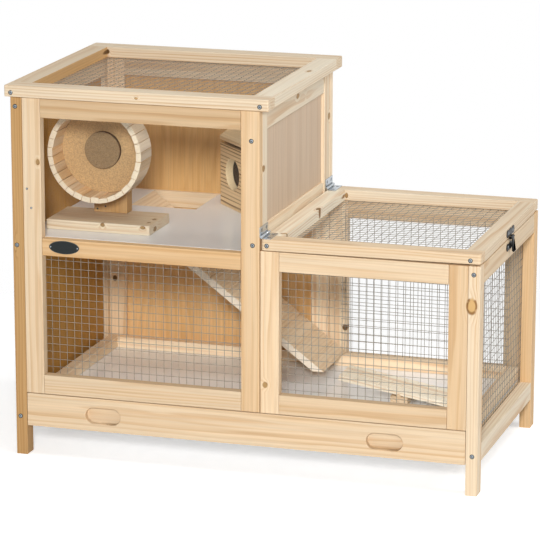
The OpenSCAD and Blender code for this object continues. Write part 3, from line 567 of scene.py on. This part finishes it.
def holedFace(x0, x1, z0, z1, cx, cz, radius, steps):
    # ring of quads from the hole edge to the rectangle along rays
    corners = [math.atan2(z - cz, x - cx) for x in (x0, x1) for z in (z0, z1)]
    a = np.unique(np.concatenate([np.linspace(-math.pi, math.pi, 73)[:-1], corners]))
    c, s = np.cos(a), np.sin(a)
    reachX = np.where(c > 0, (x1 - cx) / np.maximum(c, 1e-9), (x0 - cx) / np.minimum(c, -1e-9))
    reachZ = np.where(s > 0, (z1 - cz) / np.maximum(s, 1e-9), (z0 - cz) / np.minimum(s, -1e-9))
    reach = np.minimum(reachX, reachZ)
    hole = radius(a)
    far = [reach] + [hole + grow for grow, depth, tilt in steps]
    depths = [steps[0][1]] + [depth for grow, depth, tilt in steps]
    tilts = [0.0] + [tilt for grow, depth, tilt in steps]
    v = np.concatenate([np.stack([cx + r * c, np.full(len(a), d), cz + r * s], 1)
                        for r, d in zip(far, depths)])
    n = np.concatenate([np.stack([-c * math.sin(t), np.full(len(a), -math.cos(t)), -s * math.sin(t)], 1)
                        for t in tilts])
    i = np.arange(len(v)).reshape(len(far), len(a))
    return v, n, gridQuads(i), i[-1].tolist()


def lipSteps(lip, face):  # quarter round into a hole: grown by lip(1 - sin q), sunk by lip(1 - cos q)
    return [(lip * (1 - math.sin(q)), face + lip * (1 - math.cos(q)), q) for q in np.radians([0, 30, 60, 90])]


def stadium(half, r):  # distance from the centre to a slot with round ends
    def radius(a):
        c, s = np.cos(a), np.sin(a)
        flat = r / np.maximum(np.abs(s), 1e-9)
        end = half * np.abs(c) + np.sqrt(np.maximum(r * r - (half * s) ** 2, 0.0))
        return np.where(np.abs(flat * c) <= half, flat, end)
    return radius


drawerTunables = {"x": (156.0, 644.0), "z": 78.5, "half": 17.0, "r": 14.0, "deep": 11.0, "lip": 1.0,
                  "scoop": 2.0, "edge": 0.0014}


def drawerFront():  # board whose front is two holed rectangles, each hole running into a scooped recess
    t = drawerTunables
    lo, hi = (np.array(c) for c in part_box("drawer_front"))
    e = t["edge"]
    meshes = [roundedBoard(lo, hi, e, [(1, 0)])]
    x0, x1, z0, z1 = lo[0] + e, hi[0] - e, lo[2] + e, hi[2] - e
    middle = (x0 + x1) / 2
    lip, deep, scoop = (t[k] / 1000 for k in ("lip", "deep", "scoop"))
    for k, (a, b) in enumerate(((x0, middle), (middle, x1))):
        c = at(t["x"][k], 0, t["z"])
        steps = lipSteps(lip, lo[1])
        steps += [(0.0, lo[1] + deep - scoop, math.pi / 2)]
        steps += [(-scoop * (1 - math.cos(q)), lo[1] + deep - scoop * (1 - math.sin(q)), math.pi / 2 - q)
                  for q in np.radians([30, 60, 90])]
        slot = stadium(t["half"] / 1000, t["r"] / 1000)
        v, n, f, rim = holedFace(a, b, z0, z1, c[0], c[2], slot, steps)
        meshes.append((v, n, f + [rim]))
    board = part(joined(meshes), (1, 0, 0), **lookOf("drawer_front", 0))
    piece("drawer_front_wood", [board], [pine], ["drawer_front"])


drawerFront()
print("lids and drawer front made")


# Upper floor with its corner notches and ramp opening

floorTunables = {"leg": (20.3, 28.3, 401.7), "hole": (106.0, 227.0, 285.0), "edge": 0.0006}


def upperFloor():  # notched outline swept up by the board thickness
    t = floorTunables
    lo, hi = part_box("upper_floor")
    legX, legY0 = at(t["leg"][0], t["leg"][1], 0)[:2]
    legY1 = at(0, t["leg"][2], 0)[1]
    hx0, hy = at(t["hole"][0], t["hole"][2], 0)[:2]
    hx1 = at(t["hole"][1], 0, 0)[0]
    outline = [(legX, lo.y), (hi.x, lo.y), (hi.x, hi.y), (hx1, hi.y), (hx1, hy), (hx0, hy), (hx0, hi.y),
               (legX, hi.y), (legX, legY1), (lo.x, legY1), (lo.x, legY0), (legX, legY0)]
    mesh = prism(roundOutline(outline, 0.001, 3), lo.z, hi.z, t["edge"])
    piece("upper_floor_board", [part(mesh, (1, 0, 0))], [floorBoard], ["upper_floor"])


upperFloor()


# Ramp and seesaw board: side outlines with cross grooves, swept across their width

upright = [(1, 0, 0), (0, 0, 1), (0, -1, 0)]  # outline axes to X and Z, sweep against Y
rampTunables = {"top": (106.0, 378.0), "foot": 109.5, "slope": 36.8, "thick": 13.0, "step": 38.0,
                "groove": (2.4, 1.6), "under": 370.0, "split": 285.3, "edge": 0.0006}
seesawTunables = {"pivot": (620.0, 104.4), "tray": 88.3, "half": 107.5, "up": 1.5, "thick": 9.0, "step": 19.0,
                  "groove": (2.2, 1.4), "rod": 4.1, "edge": 0.0006}


def groovedTop(start, end, first, step, groove):  # points along the top from start to end with square grooves
    pts, w, d = [], groove[0] / 2, groove[1]
    for s in np.arange(first, end - 4.0, step):
        pts += [(s - w, 0.0), (s - w, -d), (s + w, -d), (s + w, 0.0)]
    return [(start, 0.0)] + pts + [(end, 0.0)]


def sloped(points, angle, start):
    # points along and above a slope, turned down by its angle and set at its start
    m = np.array([[math.cos(angle), math.sin(angle)], [-math.sin(angle), math.cos(angle)]])
    o = at(start[0], 0, start[1])
    return np.array(points) / 1000 @ m.T + np.array([o[0], o[2]])


def ramp():  # one strip up to the floor's top edge and a front strip cut level under the floor
    t = rampTunables
    lo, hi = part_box("ramp")
    a = math.radians(t["slope"])
    thick, under = t["thick"], t["top"][1] - t["under"]
    slant = (t["top"][1] - t["foot"]) / math.sin(a)
    low = [(thick * math.tan(a), -thick), (slant - thick / math.tan(a), -thick)]
    first = t["step"] + t["groove"][0] / 2
    back = groovedTop(0.0, slant, first, t["step"], t["groove"])[::-1] + low
    front = groovedTop(under / math.sin(a), slant, first, t["step"], t["groove"])[::-1]
    front += [(under * math.sin(a), -under * math.cos(a))] + low
    split = -at(0, t["split"], 0)[1]
    meshes = [prism(roundOutline(sloped(back, a, t["top"]), 0.0006, 2), -hi.y, split, t["edge"], 0.0),
              prism(roundOutline(sloped(front, a, t["top"]), 0.0006, 2), split, -lo.y, 0.0, t["edge"])]
    mesh = moved(joined(meshes), upright, (0, 0, 0))
    # the front face of the front strip takes the pale painted light
    slots = [0] * (len(mesh[2]) - 1) + [1]
    way = (math.cos(a), 0, -math.sin(a))
    board = part(mesh, (0, 1, 0), slot=slots, wide=way, pith=(0.3, 0.4), **lookOf("ramp", 0))
    piece("ramp_wood", [board], [rampPine, litRampFace], ["ramp"])


def seesaw():  # outline with grooves above and the rod seat below, turned by the rest tilt
    t = seesawTunables
    lo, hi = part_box("seesaw_board")
    h, up, rod = t["half"], t["up"], t["rod"]
    tilt = math.asin((t["pivot"][1] - t["tray"]) / math.hypot(h, up)) + math.atan(up / h)
    top = groovedTop(-h, h, -h + t["step"] / 2 + 1.0, t["step"], t["groove"])
    reach = math.asin(up / rod)
    seat = [(rod * math.cos(q), rod * math.sin(q)) for q in np.linspace(math.pi - reach, reach, 9)]
    pts = [(x, y + up + t["thick"]) for x, y in top[::-1]] + [(-h, up)] + seat + [(h, up)]
    outline = roundOutline(sloped(pts, tilt, t["pivot"]), 0.0006, 2)
    mesh = moved(prism(outline, -hi.y, -lo.y, t["edge"]), upright, (0, 0, 0))
    way = (math.cos(tilt), 0, -math.sin(tilt))
    board = part(mesh, way, wide=(0, 0, 1), **lookOf("seesaw_board", 0))
    piece("seesaw_wood", [board], [pine], ["seesaw_board"])
    o = at(t["pivot"][0], 0, t["pivot"][1])
    dlo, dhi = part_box("seesaw_dowel")
    mesh = moved(turned(0.004, -dhi.y, -dlo.y, 0.0005, 24), upright, (o[0], 0, o[2]))
    dowel = part(mesh, (0, 1, 0), wide=(0, 0, 1), pith=(0.004, 0.008), **lookOf("seesaw_dowel", 0))
    piece("seesaw_dowel_wood", [dowel], [pine], ["seesaw_dowel"])
    blo, bhi = (np.array(c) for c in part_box("seesaw_block"))
    r, z, mid = (rod + 0.1) / 1000, o[2] - bhi[2], (blo[0] + bhi[0]) / 2
    reach = math.asin(z / r)
    groove = [(mid - r * math.cos(q), o[2] - r * math.sin(q)) for q in np.linspace(math.pi - reach, reach, 9)]
    outline = [(blo[0], blo[2]), (bhi[0], blo[2]), (bhi[0], bhi[2])] + groove + [(blo[0], bhi[2])]
    mesh = moved(prism(roundOutline(outline, 0.0008, 2), -bhi[1], -blo[1], 0.001), upright, (0, 0, 0))
    block = part(mesh, (0, 1, 0), **lookOf("seesaw_block", 0))
    piece("seesaw_block_wood", [block], [pine], ["seesaw_block"])


ramp()
seesaw()
print("floor, ramp and seesaw made")


# Hut

hutTunables = {"corner": (254.0, 339.6, 378.0), "turn": 47.5, "wide": 100.0, "deep": 95.0, "high": 116.0,
               "slot": 6.0, "thick": 14.0, "door": (50.0, 62.0, 26.5), "pitch": 32.0, "roof": 6.0,
               "eave": 1.5, "lip": 1.5, "edge": 0.001}


def hut():  # walls and roof drawn square to the door face, then turned and set down
    t = hutTunables
    a, p = math.radians(-t["turn"]), math.radians(t["pitch"])
    u, w, up = (math.cos(a), math.sin(a), 0), (-math.sin(a), math.cos(a), 0), (0, 0, 1)
    shift, e, tan = at(*t["corner"]), t["edge"], math.tan(p)
    wide, deep, high, slot, thick, lip, roof, eave = (
        t[k] / 1000 for k in ("wide", "deep", "high", "slot", "thick", "lip", "roof", "eave"))
    cx, cz, cr = (k / 1000 for k in t["door"])
    top = high - slot
    board = roundedBoard((0, 0, 0), (wide, thick, top), e, [(1, 0), (1, 1)])
    steps = lipSteps(lip, 0.0)
    steps += [(0.0, thick / 2, math.pi / 2)]
    v, n, f, rim = holedFace(e, wide - e, e, top - e, cx, cz, lambda k: np.full(len(k), cr), steps)
    far = (v * (1, -1, 1) + (0, thick, 0), n * (1, -1, 1), [q[::-1] for q in f])
    front = moved(joined([board, (v, n, f), far]), [u, w, up], shift)
    ring = len(f) // len(steps)
    # the door's lip and bore take the pale painted light
    slots = [0] * len(board[2]) + ([0] * ring + [1] * (len(f) - ring)) * 2
    wood = part(front, u, 1.08, 0.4, slots, up, (0.07, 0.1))
    piece("hut_front_wood", [wood], [hutPine, litDoorBore], ["hut_front"])
    gable = [(thick, 0), (deep - thick, 0), (deep - thick, high + thick * tan),
             (deep / 2, high + deep / 2 * tan), (thick, high + thick * tan)]
    back = [(deep - thick, 0), (deep, 0), (deep, high), (deep - thick, high + thick * tan)]
    parts = []
    for outline, x0, x1, along in ((gable, 0, thick, w), (gable, wide - thick, wide, w), (back, 0, wide, u)):
        mesh = moved(prism(roundOutline(outline, 0.0008, 2), x0, x1, 0.0009), [w, up, u], shift)
        last = len(mesh[2]) - 1
        # the gables' inner faces take the dark painted shade
        inner = {last if x0 == 0 else last - 1} if outline is gable else set()
        slots = [1 if k in inner else 0 for k in range(len(mesh[2]))]
        parts.append(part(mesh, along, slot=slots, wide=np.cross(along, up), pith=(0.012, 0.03)))
    piece("hut_walls_wood", parts, [hutPine, shadedHutInside], ["hut_walls"])
    ridge, rise = deep / 2 - 0.0001, roof / math.cos(p)
    low, peak = high - eave * tan, high + ridge * tan
    slab = [(-eave, low), (ridge, peak), (ridge, peak + rise), (-eave, low + rise)]
    parts = []
    for outline in (slab, [(deep - x, z) for x, z in slab[::-1]]):
        mesh = moved(prism(roundOutline(outline, 0.001, 3), 0, wide, 0.001), [w, up, u], shift)
        parts.append(part(mesh, u, 1.1, 0.2, wide=up, pith=(0.03, 0.05)))
    piece("hut_roof_wood", parts, [hutPine], ["hut_roof"])


hut()


# Running wheel

wheelTunables = {"x": 113.0, "z": 506.0, "r": 83.5, "y": (88.5, 143.5), "staves": 32, "thick": 7.6,
                 "gap": 0.0042, "rough": 2.4, "uneven": 0.0014, "tone": (0.93, 1.19), "warm": (0.1, 1.1),
                 "back": 6.0, "hub": (31.5, 9.0), "edge": 0.0007, "nails": ((96.9, 400.6), (111.4, 405.4)),
                 "post": 146.5}


def staveSlots(normals, radial):  # inner and side faces planed, outer faces sawn, front end pale
    count = len(normals)
    mid = normals + np.roll(normals, -1, 0)
    sides = np.where(mid @ radial > 1.6, 2, 0).tolist()
    return sides * 4 + [1] * (3 * count) + [0, 1]


def wheel():  # staves stand round the axle, each a rounded trapezium swept along it
    t = wheelTunables
    step = 2 * math.pi / t["staves"]
    half = step / 2 - t["gap"]
    hold = at(t["x"], 0, t["z"]) * (1, 0, 1)
    y0, y1 = (at(0, y, 0)[1] for y in t["y"])
    parts = []
    for k in range(t["staves"]):
        ro = t["r"] / 1000
        ri = (t["r"] - t["thick"] - rng.uniform(0.0, t["rough"])) / 1000
        c, s = math.cos(half), math.sin(half)
        outline = [(ri * c, -ri * s), (ro * c, -ro * s), (ro * c, ro * s), (ri * c, ri * s)]
        o, n = roundOutline(outline, t["edge"], 2)
        radial = np.array([math.cos(k * step), math.sin(k * step)])
        m = np.array([[radial[0], -radial[1]], [radial[1], radial[0]]])
        front = -y0 - rng.uniform(0.0, t["uneven"])
        mesh = moved(prism((o @ m.T, n @ m.T), -y1, front, 0.0006), upright, hold)
        slots = staveSlots(n @ m.T, radial)
        parts.append(part(mesh, (0, 1, 0), rng.uniform(*t["tone"]), rng.uniform(*t["warm"]), slots,
                          (radial[0], 0, radial[1]), (0.02, 0.05)))
    piece("wheel_drum_wood", parts, [pine, endPine, sawnPine], ["wheel_drum"])
    rim = (t["r"] - t["thick"] - 0.8) / 1000 * math.cos(step / 2) - 0.0001
    back = t["back"] / 1000
    disc = moved(turned(rim, -y1, -y1 + back, 0.0005, 96), upright, hold)
    piece("wheel_disc_board", [part(disc)], [fibreboard], ["wheel_disc"])
    hubR, hubT = (k / 1000 for k in t["hub"])
    hub = moved(turned(hubR, -y1 + back, -y1 + back + hubT, 0.0006, 72), upright, hold)
    rows = len(hub[2]) // 15
    slots = [0] * (5 * rows) + [1] * (5 * rows) + [0] * (5 * rows)
    piece("wheel_hub_board", [part(hub, slot=slots)], [greyBoard, edgeBoard], ["wheel_hub"])
    alo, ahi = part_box("wheel_axle")
    rod = turned(0.004, -ahi.y, -alo.y, 0.0005, 24)
    collar = turned(0.008, -y1 - 0.003, -y1 - 0.0003, 0.0004, 32)
    axle = part(moved(joined([rod, collar]), upright, hold))
    piece("wheel_axle_steel", [axle], [zinc], ["wheel_axle"])
    nails = [part(moved(turned(0.0016, -0.0004, 0.0002, 0.0001, 12), upright, at(x, t["post"], z)))
             for x, z in t["nails"]]
    piece("wheel_post_nails", nails, [darkSteelAndShade], [], "cage")


wheel()
print("hut and wheel made")


# Welded wire mesh

wireTunables = {"sides": 6, "pieces": 5, "bow": 0.00035, "thin": 0.86}


def wireMesh(node):  # each wire a six-sided tube with a slight bow, sin(pi s) times a random sideways amount
    t = wireTunables
    meshes = []
    a = np.linspace(0, 2 * math.pi, t["sides"], endpoint=False)
    s = np.linspace(0, 1, t["pieces"] + 1)
    boxes = islands(node)
    flat = int(np.argmin(np.max([b[1] for b in boxes], 0) - np.min([b[0] for b in boxes], 0)))
    for lo, hi in boxes:
        ax = int(np.argmax(hi - lo))
        other = 3 - ax - flat
        r = (hi - lo)[flat] / 2 * t["thin"]
        c = np.repeat(((lo + hi) / 2)[None], len(s), 0)
        c[:, ax] = lo[ax] + s * (hi - lo)[ax]
        c[:, other] += rng.normal(0, t["bow"]) * np.sin(math.pi * s)
        n = np.zeros((len(s), len(a), 3))
        n[..., flat], n[..., other] = np.cos(a)[None], np.sin(a)[None]
        v = c[:, None] + n * r
        i = np.arange(v.shape[0] * v.shape[1]).reshape(v.shape[:2])
        f = gridQuads(i)
        f += [i[0, ::-1].tolist(), i[-1].tolist()]
        if (flat + 1) % 3 != other:
            f = [q[::-1] for q in f]
        meshes.append((v.reshape(-1, 3), n.reshape(-1, 3), f))
    piece(node + "_wire", [part(joined(meshes))], [wire], [node])


for name in ("tower_mesh", "run_front_mesh", "run_back_mesh", "run_side_mesh", "run_lid_mesh",
             "tower_lid_mesh"):
    wireMesh(name)
print("wire mesh made")


# Screws: dished head with a cross recess, in a dark sunk ring; the dark bars of the recess and the ring are
# painted shade

screwTunables = {"r": 2.8, "ring": 3.9, "rise": 0.5, "slot": (3.6, 0.8),
                 "front": ((8.5, 599.0), (7.4, 364.0), (8.2, 67.0), (417.0, 565.0), (419.0, 392.0),
                           (789.0, 370.0), (791.0, 67.0)),
                 "back": ((10.0, 599.0), (10.0, 364.0), (10.0, 67.0), (415.0, 565.0), (415.0, 395.0),
                          (790.0, 370.0), (790.0, 67.0)),
                 "towerLid": (3.5, 433.0), "towerLidAt": (-6.4, 623.0), "runLid": (443.0, 783.0),
                 "runLidAt": (0.0, 393.0)}


def frameFor(normal):  # two directions across a normal
    n = np.asarray(normal, float)
    n = n / np.linalg.norm(n)
    a = np.cross(n, (0.31, 0.53, 0.79))
    a = a / np.linalg.norm(a)
    return a, np.cross(n, a), n


def screw(place, normal, size=1.0):
    # lathe of the dished head, a flat dark ring round it and two thin dark bars crossing in it, ring and bars
    # painted shade
    t = screwTunables
    r, rise, ring = (t[k] * size / 1000 for k in ("r", "rise", "ring"))
    cols = frameFor(normal)
    shape = ((1.0, -0.6), (0.98, 0.35), (0.86, 0.8), (0.6, 1.0), (0.3, 0.95), (0.003, 0.9))
    head = moved(lathe([(r * x, rise * y) for x, y in shape], 20), cols, place)
    sunk = moved(turned(ring, -0.0004, 0.0001, 0.00005, 20), cols, place)
    long, thin = (k * size / 2000 for k in t["slot"])
    bars = [roundedBoard((-x, -y, rise * 0.6), (x, y, rise * 1.08), 0.00008)
            for x, y in ((long, thin), (thin, long))]
    dark = joined([sunk, moved(joined(bars), cols, place)])
    return [part(head, slot=0), part(dark, slot=1)]


def screwSet(name, places, normal, body):  # one object of screws on one body
    parts = [p for place in places for p in screw(place, normal)]
    piece(name, parts, [screwSteel, darkSteelAndShade], [], body)


def screws():  # frame screws on the front and back, and two in the front of each lid
    t = screwTunables
    screwSet("front_screws", [at(x, 0, z) for x, z in t["front"]], (0, -1, 0), "cage")
    screwSet("back_screws", [at(x, cageSizes["depth"], z) for x, z in t["back"]], (0, 1, 0), "cage")
    screwSet("tower_lid_screws", [at(x, *t["towerLidAt"]) for x in t["towerLid"]], (0, -1, 0), "tower_lid")
    screwSet("run_lid_screws", [at(x, *t["runLidAt"]) for x in t["runLid"]], (0, -1, 0), "run_lid")


screws()


# Hinges

hingeTunables = {"len": 44.0, "leaf": 16.0, "thick": 1.2, "knuckle": 2.6, "off": 2.9, "pin": 1.2,
                 "runY": (0.0, 384.0), "towerX": (70.0, 337.0)}


def hingeLeaf(knuckles):  # plate with rounded corners beside the pin, and the knuckles it carries
    t = hingeTunables
    long, off, thick, leaf, pin, barrel = (
        t[k] / 1000 for k in ("len", "off", "thick", "leaf", "pin", "knuckle"))
    seg = long / 3
    plate = [(0, off), (long, off), (long, leaf), (0, leaf)]
    meshes = [prism(roundOutline(plate, 0.0012, 3), -off, -off + thick, 0.0002)]
    for k in knuckles:
        x0, x1 = k * seg + 0.00015, (k + 1) * seg - 0.00015
        meshes.append(roundedBoard((x0, 0, -off), (x1, off + 0.001, -off + thick), 0.00015))
        shape = [(pin + 0.00005, x0), (barrel - 0.0003, x0), (barrel, x0 + 0.0003), (barrel, x1 - 0.0003),
                 (barrel - 0.0003, x1), (pin + 0.00005, x1)]
        meshes.append(moved(lathe(shape, 20), [(0, 1, 0), (0, 0, 1), (1, 0, 0)], (0, 0, 0)))
    heads = []
    for x in (0.22, 0.78):
        heads += screw(np.array([long * x, off + (leaf - off) * 0.55, -off + thick]), (0, 0, 1), 0.75)
    return joined(meshes), heads


def placedLeaf(knuckles, cols, shift):  # one leaf and its screws set at a hinge
    mesh, heads = hingeLeaf(knuckles)
    out = [part(moved(mesh, cols, shift), slot=0)]
    for p in heads:
        out.append(part(moved((p["v"], p["n"], p["f"]), cols, shift), slot=1 + p["m"][0]))
    return out


def hinges():  # wall leaves stand up by the run lid and hang by the tower lid; lid leaves mirror them
    t = hingeTunables
    steel = [zinc, screwSteel, darkSteelAndShade]
    long = t["len"] / 1000
    wall, runLeaves, towerLeaves, pins = [], [], [], []
    rod = turned(t["pin"] / 1000, 0, long, 0.0002, 16)
    for y in t["runY"]:
        o = at(cageSizes["towerWidth"] + t["off"], y, cageSizes["lidTop"] + t["off"])
        wall += placedLeaf([0, 2], [(0, 1, 0), (0, 0, 1), (1, 0, 0)], o)
        runLeaves += placedLeaf([1], [(0, -1, 0), (1, 0, 0), (0, 0, 1)], o + (0, long, 0))
        pins.append(part(moved(rod, [(1, 0, 0), (0, 0, -1), (0, 1, 0)], o)))
    for x in t["towerX"]:
        o = at(x, cageSizes["depth"] + t["off"], cageSizes["towerTop"])
        wall += placedLeaf([0, 2], [(1, 0, 0), (0, 0, -1), (0, 1, 0)], o)
        towerLeaves += placedLeaf([1], [(-1, 0, 0), (0, 0, 1), (0, 1, 0)], o + (long, 0, 0))
        pins.append(part(moved(rod, [(0, 1, 0), (0, 0, 1), (1, 0, 0)], o)))
    piece("hinge_wall_leaves_zinc", wall, steel, ["hinge_wall_leaves"])
    piece("run_lid_leaves_zinc", runLeaves, steel, ["run_lid_leaves"])
    piece("tower_lid_leaves_zinc", towerLeaves, steel, ["tower_lid_leaves"])
    piece("hinge_pins_zinc", pins, [zinc], ["hinge_pins"])


hinges()


# Latch

latchTunables = {"y": 211.0, "plate": (54.0, 13.0), "thick": 1.2, "strap": 10.0, "strapX": 4.4, "gauge": 1.6,
                 "curl": 2.6, "pin": (3.6, 386.5), "upper": 395.0, "lower": 372.0, "foot": 364.5,
                 "top": 386.6}
acrossY = [(1, 0, 0), (0, 0, -1), (0, 1, 0)]  # turned piece laid along Y


def lobed(w, h):  # plate with three lobes and round ends, half height h/2 (0.88 + 0.12 cos(4 pi x / (w - h)))
    x = np.linspace(-w / 2 + h / 2, w / 2 - h / 2, 25)
    y = h / 2 * (0.88 + 0.12 * np.cos(4 * math.pi * x / (w - h)))
    q = np.linspace(-math.pi / 2, math.pi / 2, 9)[1:-1]
    end = np.stack([x[-1] + h / 2 * np.cos(q), h / 2 * np.sin(q)], 1)
    p = np.concatenate([np.stack([x, -y], 1), end, np.stack([x, y], 1)[::-1], -end])
    d = np.roll(p, -1, 0) - np.roll(p, 1, 0)
    n = np.stack([d[:, 1], -d[:, 0]], 1)
    return p, n / np.linalg.norm(n, axis=1, keepdims=True)


def latchPlate(z):  # lobed plate against the side of the cage, with its two screws
    t = latchTunables
    w, h = (k / 1000 for k in t["plate"])
    mesh = prism(lobed(w, h), 0, t["thick"] / 1000, 0.0003)
    parts = [part(moved(mesh, [(0, 1, 0), (0, 0, 1), (1, 0, 0)], at(cageSizes["width"], t["y"], z)))]
    for y in (-15.5, 15.5):
        for p in screw(at(cageSizes["width"] + t["thick"], t["y"] + y, z), (1, 0, 0), 0.8):
            p["m"] = [1 + k for k in p["m"]]
            parts.append(p)
    return parts


def latch():  # plates on the lid and rail, a strap on a pin, its foot curled outwards
    t = latchTunables
    irons = [blackIron, zinc, darkSteelAndShade]
    side, y = cageSizes["width"], t["y"]
    px, pz = t["pin"]
    upper = latchPlate(t["upper"])
    for s in (-8, 8):
        eye = turned(0.0022, -0.002, 0.002, 0.0003, 20)
        upper.append(part(moved(eye, acrossY, at(side + px, y + s, pz))))
        lo, hi = at(side, y + s - 2, pz - 1.9), at(side + px, y + s + 2, pz + 1.9)
        upper.append(part(roundedBoard(lo, hi, 0.0003)))
    upper.append(part(moved(turned(0.0011, -0.0078, 0.0078, 0.0002, 14), acrossY, at(side + px, y, pz))))
    piece("latch_plate_iron", upper, irons, ["latch_plate"])
    lower = latchPlate(t["lower"])
    nose = np.array([(0.0, -4.0), (2.6, -4.0), (3.6, -2.0), (3.6, 2.0), (2.6, 4.0), (0.0, 4.0)]) / 1000
    block = prism(roundOutline(nose, 0.0006, 3), -0.005, 0.005, 0.0006)
    lower.append(part(moved(block, upright, at(side, y, t["lower"]))))
    piece("latch_keeper_iron", lower, irons, ["latch_keeper"])
    x0, curl, foot, top, g = (t[k] / 1000 for k in ("strapX", "curl", "foot", "top", "gauge"))
    a = np.radians(np.linspace(180, 360, 15))
    bend = np.stack([np.cos(a), np.sin(a)], 1)
    middle = np.array([x0 + curl, foot])
    inner = (middle + (curl - g) * bend)[::-1]
    outline = np.concatenate([[(x0, top)], middle + curl * bend, inner, [(x0 + g, top)]])
    half = t["strap"] / 2000
    strap = moved(prism(roundOutline(outline, 0.0003, 2), -half, half, 0.0004), upright, at(side, y, 0))
    barrel = moved(turned(0.0022, -0.0057, 0.0057, 0.0003, 20), acrossY, at(side + px, y, pz))
    piece("latch_hasp_iron", [part(strap), part(barrel)], [blackIron], ["latch_hasp"])


latch()


# Bare oval plate and nail heads on the front

plateTunables = {"x": 91.5, "z": 365.4, "half": (26.6, 11.3), "thick": 1.0, "rim": 0.001,
                 "rivet": (23.6, 1.2), "nails": ((27.0, 461.0), (34.0, 429.0))}


def frontTrim():  # oval with a thin rim, and two small nail heads in dark rings of painted shade
    t = plateTunables
    a = np.linspace(0, 2 * math.pi, 64, endpoint=False)
    hx, hz = (k / 1000 for k in t["half"])
    o = np.stack([hx * np.cos(a), hz * np.sin(a)], 1)
    n = np.stack([np.cos(a) / hx, np.sin(a) / hz], 1)
    n /= np.linalg.norm(n, axis=1, keepdims=True)
    place, thick = at(t["x"], 0, t["z"]), t["thick"] / 1000
    base = moved(prism((o, n), 0, thick, 0.0004), upright, place)
    raised = moved(prism((o - n * t["rim"], n), 0, thick + 0.0003, 0.0002), upright, place)
    parts = [part(base, slot=1), part(raised, slot=0)]
    reach, r = (k / 1000 for k in t["rivet"])
    for side in (-reach, reach):
        rivet = turned(r, 0, thick + 0.0007, 0.0003, 16)
        parts.append(part(moved(rivet, upright, place + (side, 0, 0)), slot=3))
    for x, z in t["nails"]:
        parts.append(part(moved(turned(0.0019, -0.0004, 0.0001, 0.00005, 16), upright, at(x, 0, z)), slot=2))
        parts.append(part(moved(turned(0.0013, -0.0004, 0.0003, 0.0001, 16), upright, at(x, 0, z)), slot=3))
    piece("front_plate_bronze", parts, [badge, pewter, darkSteelAndShade, zinc], [], "cage")


frontTrim()
print("ironwork made")


# Floor, light and camera

lightTunables = {"sky": 0.15, "lift": 0.45, "boxes": (  # name, place, aim, size and watts
    ("keyLight", (1.5, -5.6, 2.5), (0.0, 0.0, 0.3), 1.0, 278.0),
    ("sideLight", (3.1, 0.1, 2.4), (0.0, 0.0, 0.3), 1.6, 44.0),
    ("topLight", (0.1, -0.5, 3.2), (0.0, 0.0, 0.3), 1.8, 27.0))}


def floorMaterial():  # matt white that lifts its own light for the camera and fades out with distance
    mat, tree, out = newMaterial("paperMattWhite")
    place = add(tree, "ShaderNodeTexCoord", out="Object")
    far = add(tree, "ShaderNodeVectorMath", {0: place}, "Value", operation="LENGTH")
    fade = add(tree, "ShaderNodeMapRange", span(far, 0.5, 1.5, 0.0, 1.0), **smooth)
    ray = add(tree, "ShaderNodeLightPath", out=None)
    seen = add(tree, "ShaderNodeMath", {0: ray["Is Camera Ray"], 1: ray["Is Glossy Ray"]},
               operation="MAXIMUM")
    gone = add(tree, "ShaderNodeMath", {0: fade, 1: seen}, operation="MULTIPLY")
    lift = add(tree, "ShaderNodeMath", {0: seen, 1: lightTunables["lift"]}, operation="MULTIPLY")
    paper = add(tree, "ShaderNodeBsdfDiffuse", {"Color": linear("#F7F7F7")})
    glow = add(tree, "ShaderNodeEmission", {"Color": (1.0, 1.0, 1.0, 1.0), "Strength": lift})
    both = add(tree, "ShaderNodeAddShader", {0: paper, 1: glow})
    clear = add(tree, "ShaderNodeBsdfTransparent")
    blend = add(tree, "ShaderNodeMixShader", {0: gone, 1: both, 2: clear})
    tree.links.new(blend, out.inputs[0])
    return mat


def stageScene():  # pale floor, soft box lights round the object, white behind it
    floor = bpy.data.meshes.new("floor")
    floor.from_pydata([(-6, -6, 0), (6, -6, 0), (6, 6, 0), (-6, 6, 0)], [], [(0, 1, 2, 3)])
    floor.materials.append(floorMaterial())
    ground = bpy.data.objects.new("floor", floor)
    bpy.context.collection.objects.link(ground)
    world = bpy.data.worlds.new("studio")
    bpy.context.scene.world = world
    world.use_nodes = True
    tree = world.node_tree
    tree.nodes.clear()
    out = tree.nodes.new("ShaderNodeOutputWorld")
    ray = add(tree, "ShaderNodeLightPath", out=None)
    seen = add(tree, "ShaderNodeMath", {0: ray["Is Camera Ray"], 1: ray["Is Glossy Ray"]},
               operation="MAXIMUM")
    seen = add(tree, "ShaderNodeMath", {0: seen, 1: ray["Is Transmission Ray"]}, operation="MAXIMUM")
    power = add(tree, "ShaderNodeMapRange", span(seen, 0.0, 1.0, lightTunables["sky"], 1.0))
    back = add(tree, "ShaderNodeBackground", {"Color": (1.0, 1.0, 1.0, 1.0), "Strength": power})
    tree.links.new(back, out.inputs[0])
    for name, spot, aim, size, watts in lightTunables["boxes"]:
        lamp = bpy.data.lights.new(name, "AREA")
        lamp.shape, lamp.size, lamp.energy = "DISK", size, watts
        obj = bpy.data.objects.new(name, lamp)
        bpy.context.collection.objects.link(obj)
        obj.location = spot
        away = np.array(spot) - np.array(aim)
        flat = math.hypot(away[0], away[1])
        obj.rotation_euler = (math.atan2(flat, away[2]), 0.0, math.atan2(away[0], -away[1]))


stageScene()
lens = bpy.data.cameras.new("camera")
lens.lens, lens.sensor_width = 205.357, 36.0
lens.clip_end = 60.0
camera = bpy.data.objects.new("camera", lens)
bpy.context.collection.objects.link(camera)
camera.location = at(1878.0, -4652.3, 1556.8)
camera.rotation_euler = (math.radians(76.1112), math.radians(-0.0553), math.radians(17.0899))
scene = bpy.context.scene
scene.camera = camera
scene.view_settings.view_transform = "Standard"
